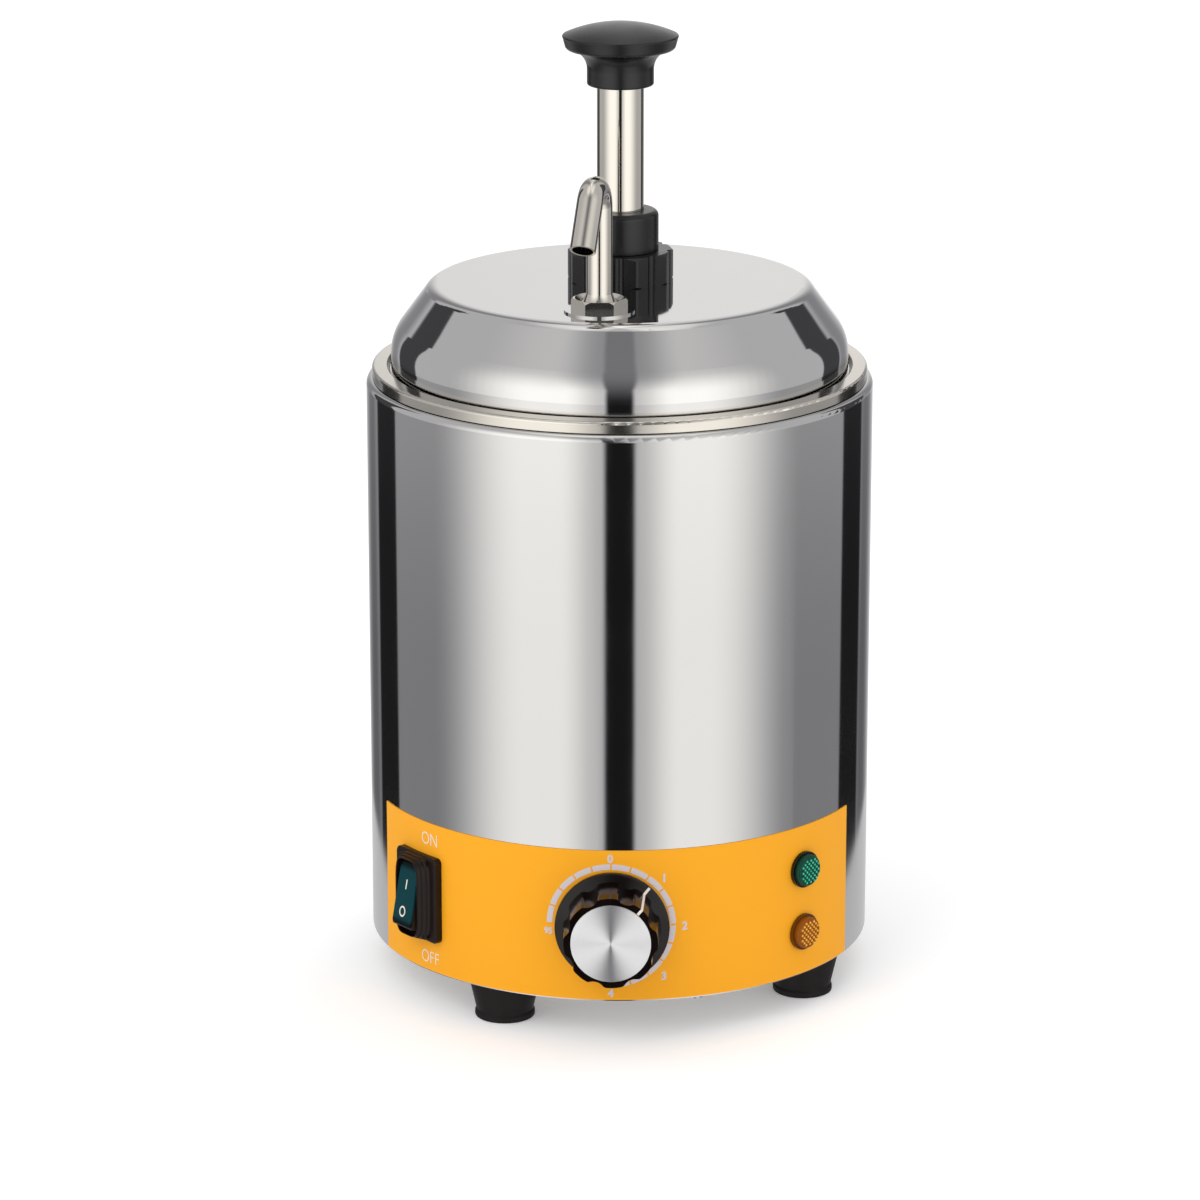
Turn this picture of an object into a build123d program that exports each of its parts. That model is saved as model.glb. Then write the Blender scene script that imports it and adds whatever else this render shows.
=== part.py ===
"""Countertop hot fudge topping warmer: heated water bath, lift-out pot and lid-mounted pump.

Frame: millimetres, +Z up, origin on the surface the feet stand on, under the housing's
axis. The control panel and the spout face -Y. Angles are measured about +Z from +X.
"""
from math import cos, radians, sin, sqrt
import os

from build123d import *

os.makedirs("parts", exist_ok=True)

# ---------------------------------------------------------------- housing
foot_height = 17.0
shell_radius = 110.0
shell_wall = 1.0
shell_height = 249.0
shell_top_round = 3.0
shell_flange_width = 11.0
plate_thickness = 1.2
plate_clearance = 0.3
vent_count = 6
vent_ring_radius = 52.0
vent_length = 30.0
vent_width = 4.0
tab_first_angle = 20.0
tab_count = 4
tab_sheet = 1.5
tab_width = 14.0
tab_length = 12.0
tab_height = 12.0

# ---------------------------------------------------------------- feet
foot_count = 4
foot_first_angle = -30.0
foot_inset = 15.5
foot_top_radius = 15.5
foot_neck_radius = 12.4
foot_bead_radius = 13.0
foot_bead_height = 2.4
foot_recess_radius = 5.2
foot_recess_depth = 6.0

# ---------------------------------------------------------------- water tank, rim and pot
tank_side_gap = 14.0
tank_wall = 1.0
tank_floor_rise = 78.0
tank_corner = 8.0
tank_flange_inset = 4.0
rim_height = 5.5
rim_inset = 2.5
rim_width = 6.5
rim_fall = 0.5
rim_skirt_wall = 1.2
rim_seam = 0.3
pot_side_gap = 12.0
pot_wall = 1.0
pot_floor_rise = 17.0
pot_corner = 12.0
pot_flange_gap = 1.0
neck_bend = 2.0

# ---------------------------------------------------------------- heater under the tank
stud_radius = 3.0
stud_length = 17.0
heater_tube_radius = 3.25
heater_loop_radius = 60.0
heater_gap_angle = 40.0
heater_bend_radius = 8.0
heater_tail = 12.0
heater_pin_radius = 1.2
heater_pin_length = 6.0
clamp_radius = 70.0
clamp_thickness = 2.0
clamp_notch_width = 46.0
clamp_notch_depth = 24.0
clamp_nut_flats = 10.0
clamp_nut_height = 5.0
cutout_radius = 8.0
cutout_height = 10.0
cutout_offset = 35.0
bulb_radius = 3.0
bulb_length = 42.0
bulb_offset = 8.0
bulb_lead = 11.5
capillary_radius = 0.9
capillary_bend = 6.0
capillary_drop_gap = 14.0
clip_sheet = 0.8
clip_width = 10.0
clip_foot = 6.0

# ---------------------------------------------------------------- control panel
panel_height = 67.25
panel_lift = 0.5
panel_film = 0.33
panel_half_angle = 65.25
control_height = 51.0
dial_angle = -90.0
switch_angle = -139.6
lamp_angle = -42.5
lamp_spacing = 28.4

# ---------------------------------------------------------------- dial and thermostat
dial_skirt_radius = 24.5
dial_skirt_thickness = 2.2
dial_skirt_rise = 1.2
dial_back_gap = 0.7
dial_grip_radius = 21.0
dial_grip_draft = 1.0
dial_lobes = 8
dial_scoop_radius = 5.5
dial_scoop_depth = 1.7
dial_depth = 22.4
dial_cap_radius = 17.0
dial_cap_thickness = 1.6
dial_cap_proud = 0.7
dial_pointer_angle = 41.0
dial_wall = 2.6
shaft_radius = 3.0
shaft_flat = 0.7
shaft_end_gap = 1.2
bracket_sheet = 1.5
bracket_width = 48.0
bracket_height = 64.0
bracket_foot = 20.0
bracket_setback = 13.0
bracket_hole_inset = 9.0
shaft_pocket_depth = 8.0
thermostat_width = 34.0
thermostat_depth = 22.0
thermostat_screw_spacing = 26.0
bushing_radius = 5.0
bushing_length = 10.5
bushing_nut_flats = 14.0
bushing_nut_height = 3.0
blade_width = 6.3
blade_thickness = 0.8
blade_length = 7.5

# ---------------------------------------------------------------- rocker switch
bezel_width = 28.0
bezel_height = 38.5
bezel_thickness = 3.0
bezel_corner = 2.2
hood_width = 19.0
hood_height = 36.4
hood_rise = 1.8
window_width = 14.2
window_height = 33.2
switch_body_width = 18.2
switch_body_height = 35.4
switch_body_depth = 22.0
rocker_clearance = 0.35
rocker_face_length = 29.5
rocker_reach = 8.6
rocker_lens_thickness = 1.0
rocker_tilt = 11.5
trunnion_radius = 1.2
trunnion_length = 1.3

# ---------------------------------------------------------------- pilot lamps
lamp_flange_radius = 8.0
lamp_flange_thickness = 1.6
lamp_lens_radius = 7.0
lamp_lens_rise = 2.6
lamp_barrel_radius = 6.2
lamp_barrel_length = 18.0
lamp_stem_radius = 5.0
lamp_stem_length = 4.0
lamp_nut_flats = 15.0
lamp_nut_height = 3.0

# ---------------------------------------------------------------- supply inlet at the rear
gland_angle = 90.0
gland_height = 40.0
gland_flats = 18.0
gland_hex_height = 6.0
gland_length = 22.8
gland_dome_radius = 8.6
gland_thread_radius = 7.4
gland_thread_length = 12.0
gland_bore_radius = 4.0
gland_clamp_length = 21.0
gland_barrel_bore_radius = 5.0
gland_nut_height = 4.5
block_length = 36.0
block_width = 16.0
block_height = 14.0
block_side_offset = 34.0
block_rear_offset = 44.0

# ---------------------------------------------------------------- lid
lid_wall = 1.2
lid_cone_run = 17.1
lid_height = 38.7
lid_cone_height = 23.2
lid_edge_round = 6.1
lid_shoulder_round = 21.5
lid_lip_width = 0.8
lid_lip_height = 1.4

# ---------------------------------------------------------------- pump
pump_rear_offset = 7.0
cylinder_radius = 15.0
cylinder_bore = 13.8
cylinder_flange_radius = 20.0
cylinder_flange_height = 2.5
gasket_thickness = 1.5
pump_floor_gap = 3.0
lock_nut_height = 13.2
lock_nut_radius = 22.5
lock_nut_flat_radius = 21.9
lock_nut_lobes = 9
lock_nut_groove = 2.4
lock_nut_chamfer = 1.2
collar_radius = 16.6
collar_height = 17.4
collar_round = 2.6
collar_stub_length = 14.0
tube_radius = 10.15
tube_wall = 1.5
stroke = 50.0
knob_gap = 54.3
knob_neck_radius = 14.4
knob_neck_height = 7.0
knob_disc_radius = 23.6
knob_rim_radius = 25.0
knob_flare_height = 8.4
knob_rim_height = 5.8
knob_dome_height = 5.7
knob_socket_depth = 13.0
piston_radius = 13.4
piston_height = 17.0
piston_rest_rise = 79.0
piston_plug_length = 10.0
seal_section = 1.5
seal_seat_radius = 12.2
spring_radius = 10.5
spring_wire = 0.8
spring_coils = 7.0

# ---------------------------------------------------------------- foot valve
valve_radius = 18.0
valve_floor = 10.0
valve_socket_depth = 12.0
inlet_radius = 4.0
chamber_radius = 7.5
ball_radius = 5.5
arm_width = 13.0
arm_height = 14.0
passage_radius = 3.5
boss_radius = 9.5

# ---------------------------------------------------------------- discharge tube and spout
riser_side_offset = 7.1
riser_front_inset = 25.7
discharge_radius = 6.35
discharge_bore = 4.6
stub_radius = 9.3
stub_height = 2.3
stub_flange_radius = 12.5
stub_flange_height = 3.0
washer_radius = 15.0
washer_thickness = 0.8
union_nut_corner_radius = 12.0
union_nut_height = 5.0
union_nut_turn = 2.0
union_recess_radius = 10.4
spout_radius = 5.55
spout_bore = 4.5
spout_flange_radius = 8.9
spout_flange_height = 1.2
spout_flare_radius = 8.2
spout_flare_height = 4.2
spout_bend_height = 44.7
spout_bend_radius = 9.0
spout_turn = 145.0
spout_tip_length = 22.0
spout_angle = -102.0

# ---------------------------------------------------------------- screws and fits
m5_radius = 2.5
m5_head_radius = 4.8
m5_head_height = 3.0
m5_nut_flats = 8.0
m5_nut_height = 4.0
m4_radius = 2.0
m4_head_radius = 3.6
m4_head_height = 2.2
m4_length = 9.0
m3_radius = 1.5
m3_head_radius = 2.7
m3_head_height = 2.0
m3_length = 8.0
running_fit = 0.05
screw_fit = 0.1
hole_clearance = 0.2
seat_gap = 0.05

# ---------------------------------------------------------------- levels and radii that follow
shell_bottom = foot_height
shell_top = shell_bottom + shell_height
plate_top = shell_bottom + plate_thickness
shell_inside = shell_radius - shell_wall
panel_radius = shell_radius + seat_gap + panel_film
panel_bottom = shell_bottom + panel_lift
tab_circle = shell_inside - tab_length / 2
foot_circle = shell_radius - foot_inset
tank_radius = shell_radius - tank_side_gap
tank_flange_radius = shell_radius - tank_flange_inset
rim_radius = shell_radius - rim_inset
rim_inside = rim_radius - rim_width
pot_radius = tank_radius - pot_side_gap
pot_flange_radius = rim_inside - pot_flange_gap
lid_lip_radius = pot_flange_radius
lid_skirt_radius = lid_lip_radius - lid_lip_width
lid_top_radius = lid_skirt_radius - lid_cone_run
tank_floor = shell_bottom + tank_floor_rise
tank_flange_top = shell_top + tank_wall
rim_top = shell_top + rim_height
pot_floor = tank_floor + pot_floor_rise
pot_flange_top = tank_flange_top + pot_wall
heater_level = tank_floor - heater_tube_radius
clamp_top = heater_level - heater_tube_radius
clamp_bottom = clamp_top - clamp_thickness
bulb_level = clamp_bottom - bulb_radius - seat_gap
lid_bottom = pot_flange_top
lid_top = lid_bottom + lid_height
lid_under = lid_top - lid_wall
cylinder_flange_top = lid_under - gasket_thickness
lock_nut_top = lid_top + lock_nut_height
collar_top = lock_nut_top + collar_height
knob_bottom = collar_top + knob_gap
knob_top = knob_bottom + knob_neck_height + knob_flare_height + knob_rim_height + knob_dome_height
valve_bottom = pot_floor + pot_wall + pump_floor_gap
cylinder_bottom = valve_bottom + valve_floor
piston_bottom = cylinder_bottom + piston_rest_rise
tube_bottom = piston_bottom + piston_height
washer_top = lid_top + washer_thickness
stub_top = lid_top + stub_height
union_nut_top = washer_top + union_nut_height
spout_bend_level = lid_top + spout_bend_height
bracket_front = -(shell_radius - bracket_setback)
bracket_back = bracket_front + bracket_sheet
thermostat_back = bracket_back + thermostat_depth

tab_holes = PolarLocations(tab_circle, tab_count, start_angle=tab_first_angle)
foot_places = PolarLocations(foot_circle, foot_count, start_angle=foot_first_angle)
bracket_hole_x = bracket_width / 2 - bracket_hole_inset
bracket_hole_y = bracket_back + bracket_foot / 2
pump_x = 0.0
pump_y = pump_rear_offset
riser_x = -riser_side_offset
riser_y = riser_front_inset - lid_top_radius
pump_axis = (pump_x, pump_y)
riser_axis = (riser_x, riser_y)
block_x = block_side_offset
block_y = block_rear_offset


def radial_plane(angle, height, radius):
    """Plane facing outward at an angle about the housing; its Y axis points up."""
    outward = (cos(radians(angle)), sin(radians(angle)), 0)
    along = (-sin(radians(angle)), cos(radians(angle)), 0)
    origin = (radius * outward[0], radius * outward[1], height)
    return Plane(origin=origin, x_dir=along, z_dir=outward)


def section_plane(x, y):
    """Upright plane through a vertical axis at x, y for turned profiles."""
    return Plane(origin=(x, y, 0), x_dir=(1, 0, 0), z_dir=(0, -1, 0))


def axis_at(x, y):
    """Vertical axis through x, y."""
    return Axis((x, y, 0), (0, 0, 1))


def save(builder, label):
    """Label a finished piece and write it as one STEP file."""
    builder.part.label = label
    export_step(builder.part, "parts/" + label + ".step")


dial_plane = radial_plane(dial_angle, control_height, panel_radius)
switch_plane = radial_plane(switch_angle, control_height, panel_radius)
lamp_planes = [
    radial_plane(lamp_angle, control_height + side * lamp_spacing / 2, panel_radius)
    for side in (1, -1)
]
gland_plane = radial_plane(gland_angle, gland_height, shell_radius)

# ================================================================ housing pieces
# Outer shell: a rolled stainless cylinder whose top edge turns inward as the tank's seat.
with BuildPart() as outer_shell:
    with BuildSketch(Plane.XZ):
        with BuildLine():
            FilletPolyline(
                (shell_radius, shell_bottom),
                (shell_radius, shell_top),
                (shell_radius - shell_flange_width, shell_top),
                radius=[shell_top_round],
            )
            offset(amount=shell_wall, side=Side.LEFT)
        make_face()
    revolve(axis=Axis.Z)
    # openings for the controls and the supply inlet
    with BuildSketch(dial_plane):
        Circle(bushing_radius + 1.0)
    extrude(amount=-6, mode=Mode.SUBTRACT)
    with BuildSketch(switch_plane):
        Rectangle(switch_body_width + 2 * hole_clearance, switch_body_height + 2 * hole_clearance)
    extrude(amount=-6, mode=Mode.SUBTRACT)
    for lamp_plane in lamp_planes:
        with BuildSketch(lamp_plane):
            Circle(lamp_barrel_radius + hole_clearance)
        extrude(amount=-6, mode=Mode.SUBTRACT)
    with BuildSketch(gland_plane):
        Circle(gland_thread_radius + hole_clearance)
    extrude(amount=-6, mode=Mode.SUBTRACT)
save(outer_shell, "outer_shell")

# Shell tabs: four folded brackets welded inside the shell's foot for the bottom plate's screws.
with BuildPart() as shell_tabs:
    for place in range(tab_count):
        turn = tab_first_angle + place * 360 / tab_count
        tab_side = Plane(
            origin=(0, 0, 0),
            x_dir=(cos(radians(turn)), sin(radians(turn)), 0),
            z_dir=(sin(radians(turn)), -cos(radians(turn)), 0),
        )
        with BuildSketch(tab_side):
            with BuildLine():
                Polyline(
                    (shell_inside - tab_length, plate_top),
                    (shell_inside + shell_wall / 2, plate_top),
                    (shell_inside + shell_wall / 2, plate_top + tab_height),
                    (shell_inside - tab_sheet, plate_top + tab_height),
                    (shell_inside - tab_sheet, plate_top + tab_sheet),
                    (shell_inside - tab_length, plate_top + tab_sheet),
                    close=True,
                )
            make_face()
        extrude(amount=tab_width / 2, both=True)
    # the upright leaf's back follows the shell
    with BuildSketch(Plane.XY.offset(plate_top)):
        Circle(shell_inside - seat_gap)
    extrude(amount=tab_height, mode=Mode.INTERSECT)
    with BuildSketch(Plane.XY.offset(plate_top)):
        with tab_holes:
            Circle(m4_radius + running_fit)
    extrude(amount=tab_sheet, mode=Mode.SUBTRACT)
save(shell_tabs, "shell_tabs")

# Control panel: a thin film wrapped round the lower front of the shell.
panel_start = dial_angle - panel_half_angle
panel_edge = Plane(
    origin=(0, 0, 0),
    x_dir=(cos(radians(panel_start)), sin(radians(panel_start)), 0),
    z_dir=(sin(radians(panel_start)), -cos(radians(panel_start)), 0),
)
with BuildPart() as control_panel:
    with BuildSketch(panel_edge):
        with BuildLine():
            Polyline(
                (panel_radius - panel_film, panel_bottom),
                (panel_radius, panel_bottom),
                (panel_radius, panel_bottom + panel_height),
                (panel_radius - panel_film, panel_bottom + panel_height),
                close=True,
            )
        make_face()
    revolve(axis=Axis.Z, revolution_arc=2 * panel_half_angle)
    with BuildSketch(dial_plane.offset(1)):
        Circle(bushing_radius + 1.0)
    extrude(amount=-6, mode=Mode.SUBTRACT)
    with BuildSketch(switch_plane.offset(1)):
        Rectangle(switch_body_width + 2 * hole_clearance, switch_body_height + 2 * hole_clearance)
    extrude(amount=-6, mode=Mode.SUBTRACT)
    for lamp_plane in lamp_planes:
        with BuildSketch(lamp_plane.offset(1)):
            Circle(lamp_barrel_radius + hole_clearance)
        extrude(amount=-6, mode=Mode.SUBTRACT)
save(control_panel, "control_panel")

# Bottom plate: closes the housing, carries the feet and breathes through slots.
with BuildPart() as bottom_plate:
    with BuildSketch(Plane.XY.offset(shell_bottom)):
        Circle(shell_inside - plate_clearance)
        with foot_places:
            Circle(m5_radius + screw_fit, mode=Mode.SUBTRACT)
        with tab_holes:
            Circle(m4_radius + screw_fit, mode=Mode.SUBTRACT)
        with Locations((-bracket_hole_x, bracket_hole_y), (bracket_hole_x, bracket_hole_y)):
            Circle(m4_radius + screw_fit, mode=Mode.SUBTRACT)
        with PolarLocations(vent_ring_radius, vent_count, start_angle=90):
            SlotOverall(vent_length, vent_width, rotation=90, mode=Mode.SUBTRACT)
    extrude(amount=plate_thickness)
save(bottom_plate, "bottom_plate")

# Rubber feet: tapered buffers with a bead round the sole and a recess for the screw.
with BuildPart() as one_foot:
    with BuildSketch(Plane.XZ):
        with BuildLine():
            FilletPolyline(
                (foot_recess_radius, 0),
                (foot_bead_radius, 0),
                (foot_bead_radius, foot_bead_height),
                (foot_neck_radius, foot_bead_height + 1),
                (foot_top_radius, foot_height),
                (m5_radius + screw_fit, foot_height),
                (m5_radius + screw_fit, foot_recess_depth),
                (foot_recess_radius, foot_recess_depth),
                radius=[0, 0.8, 0.5, 0.8, 0.5, 0, 0, 0],
                close=True,
            )
        make_face()
    revolve(axis=Axis.Z)
with BuildPart() as rubber_feet:
    with foot_places:
        add(one_foot.part)
save(rubber_feet, "rubber_feet")

with BuildPart() as foot_screws:
    with BuildSketch(Plane.XY.offset(foot_recess_depth)):
        with foot_places:
            Circle(m5_head_radius)
    extrude(amount=-m5_head_height)
    with BuildSketch(Plane.XY.offset(foot_recess_depth)):
        with foot_places:
            Circle(m5_radius)
    extrude(amount=plate_top + m5_nut_height + 1.5 - foot_recess_depth)
save(foot_screws, "foot_screws")

with BuildPart() as foot_nuts:
    with BuildSketch(Plane.XY.offset(plate_top)):
        with foot_places:
            RegularPolygon(m5_nut_flats / 2, 6, major_radius=False)
            Circle(m5_radius + running_fit, mode=Mode.SUBTRACT)
    extrude(amount=m5_nut_height)
save(foot_nuts, "foot_nuts")

# Screws from below through the plate, into the shell's tabs and the control bracket.
with BuildPart() as plate_screws:
    with BuildSketch(Plane.XY.offset(shell_bottom)):
        with tab_holes:
            Circle(m4_head_radius)
        with Locations((-bracket_hole_x, bracket_hole_y), (bracket_hole_x, bracket_hole_y)):
            Circle(m4_head_radius)
    extrude(amount=-m4_head_height)
    with BuildSketch(Plane.XY.offset(shell_bottom)):
        with tab_holes:
            Circle(m4_radius)
        with Locations((-bracket_hole_x, bracket_hole_y), (bracket_hole_x, bracket_hole_y)):
            Circle(m4_radius)
    extrude(amount=m4_length)
save(plate_screws, "plate_screws")

# Water tank: drawn bath that hangs in the shell by its flange, with a weld stud below.
with BuildPart() as water_tank:
    with BuildSketch(Plane.XZ):
        with BuildLine():
            FilletPolyline(
                (0, tank_floor),
                (tank_radius, tank_floor),
                (tank_radius, shell_top),
                (tank_flange_radius, shell_top),
                radius=[tank_corner, neck_bend],
            )
            offset(amount=tank_wall, side=Side.LEFT)
        make_face()
    revolve(axis=Axis.Z)
    with BuildSketch(Plane.XY.offset(tank_floor)):
        Circle(stud_radius)
    extrude(amount=-stud_length)
save(water_tank, "water_tank")

# Rim ring: the brushed band that covers the tank's flange and guides the lid.
with BuildPart() as rim_ring:
    with BuildSketch(Plane.XZ):
        with BuildLine():
            FilletPolyline(
                (rim_inside, tank_flange_top),
                (rim_radius - rim_skirt_wall, tank_flange_top),
                (rim_radius - rim_skirt_wall, shell_top + rim_seam),
                (rim_radius, shell_top + rim_seam),
                (rim_radius, rim_top - rim_fall),
                (rim_inside, rim_top),
                radius=[0, 0, 0, 0, 1.2, 0.4],
                close=True,
            )
        make_face()
    revolve(axis=Axis.Z)
save(rim_ring, "rim_ring")

# ================================================================ heater under the tank
# Tubular element: an open loop with both cold ends bent down to their pins.
loop_start = 90 + heater_gap_angle / 2
with BuildPart() as heating_element:
    with BuildLine(Plane.XY.offset(heater_level)) as heater_path:
        loop = CenterArc((0, 0), heater_loop_radius, loop_start, 360 - heater_gap_angle)
    bend_down = Vector(0, 0, -heater_bend_radius)
    with BuildLine() as tail_paths:
        for end, sign in ((0, -1), (1, 1)):
            tip = heater_path.line.edge() @ end
            run = (heater_path.line.edge() % end) * sign * heater_bend_radius
            middle = tip + run * sin(radians(45)) + bend_down * (1 - cos(radians(45)))
            ThreePointArc(tip, middle, tip + run + bend_down)
            Line(tip + run + bend_down, tip + run + bend_down + Vector(0, 0, -heater_tail))
    whole_path = Wire(heater_path.edges() + tail_paths.edges())
    with BuildSketch(Plane(origin=whole_path @ 0, z_dir=whole_path % 0)):
        Circle(heater_tube_radius)
    sweep(path=whole_path)
    for tail_end in heating_element.faces().filter_by(Axis.Z).sort_by(Axis.Z)[:2]:
        with BuildSketch(Plane(origin=tail_end.center(), z_dir=(0, 0, -1))):
            Circle(heater_pin_radius)
        extrude(amount=heater_pin_length)
save(heating_element, "heating_element")

# Clamp plate: holds the element flat against the tank, notched for the element's tails.
with BuildPart() as heater_clamp:
    with BuildSketch(Plane.XY.offset(clamp_bottom)):
        Circle(clamp_radius)
        Circle(stud_radius + screw_fit, mode=Mode.SUBTRACT)
        with Locations((0, clamp_radius - clamp_notch_depth / 2 + 1)):
            RectangleRounded(
                clamp_notch_width, clamp_notch_depth + 2, 3, mode=Mode.SUBTRACT
            )
    extrude(amount=clamp_thickness)
save(heater_clamp, "heater_clamp")

with BuildPart() as clamp_nut:
    with BuildSketch(Plane.XY.offset(clamp_bottom)):
        RegularPolygon(clamp_nut_flats / 2, 6, major_radius=False)
        Circle(stud_radius + running_fit, mode=Mode.SUBTRACT)
    extrude(amount=-clamp_nut_height)
save(clamp_nut, "clamp_nut")

# Overheat cut-out: disc thermostat under the clamp plate, with two blade terminals.
with BuildPart() as thermal_cutout:
    with BuildSketch(Plane.XY.offset(clamp_bottom)):
        with Locations((-cutout_offset, 0)):
            SlotOverall(3.2 * cutout_radius, cutout_radius, rotation=90)
    extrude(amount=-1)
    with BuildSketch(Plane.XY.offset(clamp_bottom)):
        with Locations((-cutout_offset, 0)):
            Circle(cutout_radius)
    extrude(amount=-cutout_height)
    with BuildSketch(Plane.XY.offset(clamp_bottom - cutout_height)):
        with Locations((-cutout_offset, -4.5), (-cutout_offset, 4.5)):
            Rectangle(blade_width, blade_thickness)
    extrude(amount=-blade_length)
save(thermal_cutout, "thermal_cutout")

# Thermostat bulb and capillary: one sealed copper piece from clamp plate to thermostat.
drop_y = thermostat_back + capillary_drop_gap
bulb_end = drop_y + bulb_lead
bulb_start = -(bulb_end + bulb_length)
capillary_height = control_height + thermostat_width / 4
with BuildPart() as thermostat_bulb:
    with BuildSketch(Plane.XZ.offset(bulb_start)):
        with Locations((bulb_offset, bulb_level)):
            Circle(bulb_radius)
    extrude(amount=bulb_length)
    with BuildLine(Plane.YZ.offset(bulb_offset)) as capillary_path:
        FilletPolyline(
            (bulb_end + 1, bulb_level),
            (drop_y, bulb_level),
            (drop_y, capillary_height),
            (thermostat_back, capillary_height),
            radius=[capillary_bend, capillary_bend],
        )
    with BuildSketch(Plane.XZ.offset(-(bulb_end + 1))):
        with Locations((bulb_offset, bulb_level)):
            Circle(capillary_radius)
    sweep(path=capillary_path.line)
save(thermostat_bulb, "thermostat_bulb")

# Saddle clip welded under the clamp plate round the bulb.
clip_reach = bulb_radius + seat_gap + clip_sheet
with BuildPart() as bulb_clip:
    with BuildSketch(Plane.XZ.offset(bulb_start + bulb_length / 2 - clip_width / 2)):
        with Locations((bulb_offset, bulb_level)):
            Circle(clip_reach)
        with Locations((bulb_offset, bulb_level + clip_reach / 2)):
            Rectangle(2 * clip_reach, clip_reach)
        with Locations((bulb_offset, clamp_bottom - clip_sheet / 2)):
            Rectangle(2 * (clip_reach + clip_foot), clip_sheet)
        with Locations((bulb_offset, bulb_level)):
            Circle(bulb_radius + seat_gap, mode=Mode.SUBTRACT)
        with Locations((bulb_offset, bulb_level + clip_reach)):
            Rectangle(2 * (bulb_radius + seat_gap), 2 * clip_reach, mode=Mode.SUBTRACT)
        with Locations((bulb_offset, clamp_bottom + clip_reach)):
            Rectangle(6 * clip_reach, 2 * clip_reach, mode=Mode.SUBTRACT)
    extrude(amount=clip_width)
save(bulb_clip, "bulb_clip")

# ================================================================ thermostat and its bracket
with BuildPart() as control_bracket:
    with BuildSketch(Plane.YZ):
        with BuildLine():
            FilletPolyline(
                (bracket_back + bracket_foot, plate_top),
                (bracket_front, plate_top),
                (bracket_front, plate_top + bracket_height),
                radius=[bracket_sheet * 1.6],
            )
            offset(amount=bracket_sheet, side=Side.RIGHT)
        make_face()
    extrude(amount=bracket_width / 2, both=True)
    with BuildSketch(Plane.XZ.offset(-bracket_front)):
        with Locations((0, control_height)):
            Circle(bushing_radius + screw_fit)
            with GridLocations(thermostat_screw_spacing, 1, 2, 1):
                Circle(m3_radius + screw_fit)
    extrude(amount=-bracket_sheet, mode=Mode.SUBTRACT)
    with BuildSketch(Plane.XY.offset(plate_top)):
        with Locations((-bracket_hole_x, bracket_hole_y), (bracket_hole_x, bracket_hole_y)):
            Circle(m4_radius + running_fit)
    extrude(amount=bracket_sheet, mode=Mode.SUBTRACT)
save(control_bracket, "control_bracket")

with BuildPart() as thermostat_body:
    with BuildSketch(Plane.XZ.offset(-bracket_back)):
        with Locations((0, control_height)):
            RectangleRounded(thermostat_width, thermostat_width, 3)
    extrude(amount=-thermostat_depth)
    with BuildSketch(Plane.XZ.offset(-bracket_back)):
        with Locations((0, control_height)):
            Circle(bushing_radius)
    extrude(amount=bushing_length)
    with BuildSketch(Plane.XZ.offset(-thermostat_back)):
        with Locations((0, control_height - thermostat_width / 4)):
            with GridLocations(2.2 * blade_width, 1, 2, 1):
                Rectangle(blade_width, blade_thickness)
    extrude(amount=-blade_length)
    with BuildSketch(Plane.XZ.offset(-bracket_back + bushing_length)):
        with Locations((0, control_height)):
            Circle(shaft_radius + running_fit)
    extrude(amount=-(bushing_length + shaft_pocket_depth), mode=Mode.SUBTRACT)
    with BuildSketch(Plane.XZ.offset(-bracket_back)):
        with Locations((0, control_height)):
            with GridLocations(thermostat_screw_spacing, 1, 2, 1):
                Circle(m3_radius + running_fit)
    extrude(amount=-m3_length, mode=Mode.SUBTRACT)
save(thermostat_body, "thermostat_body")

with BuildPart() as thermostat_screws:
    with BuildSketch(Plane.XZ.offset(-bracket_front)):
        with Locations((0, control_height)):
            with GridLocations(thermostat_screw_spacing, 1, 2, 1):
                Circle(m3_head_radius)
    extrude(amount=m3_head_height)
    with BuildSketch(Plane.XZ.offset(-bracket_front)):
        with Locations((0, control_height)):
            with GridLocations(thermostat_screw_spacing, 1, 2, 1):
                Circle(m3_radius)
    extrude(amount=-m3_length)
save(thermostat_screws, "thermostat_screws")

with BuildPart() as bushing_nut:
    with BuildSketch(Plane.XZ.offset(-bracket_front)):
        with Locations((0, control_height)):
            RegularPolygon(bushing_nut_flats / 2, 6, major_radius=False)
            Circle(bushing_radius + running_fit, mode=Mode.SUBTRACT)
    extrude(amount=bushing_nut_height)
save(bushing_nut, "bushing_nut")

# ================================================================ dial
# The shaft turns in the thermostat's bushing and drives the knob by its flat.
shaft_rear = -bracket_back - shaft_pocket_depth + shaft_end_gap
shaft_front = panel_radius + dial_depth - dial_cap_proud - dial_cap_thickness - shaft_end_gap
with BuildPart() as thermostat_shaft:
    with BuildSketch(Plane.XZ.offset(shaft_rear)):
        with Locations((0, control_height)):
            Circle(shaft_radius)
    extrude(amount=shaft_front - shaft_rear)
    with BuildSketch(Plane.XZ.offset(shaft_front)):
        with Locations((0, control_height + 2 * shaft_radius - shaft_flat)):
            Rectangle(2 * shaft_radius, 2 * shaft_radius)
    extrude(amount=-(shaft_front - panel_radius - 3), mode=Mode.SUBTRACT)
save(thermostat_shaft, "thermostat_shaft")

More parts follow.
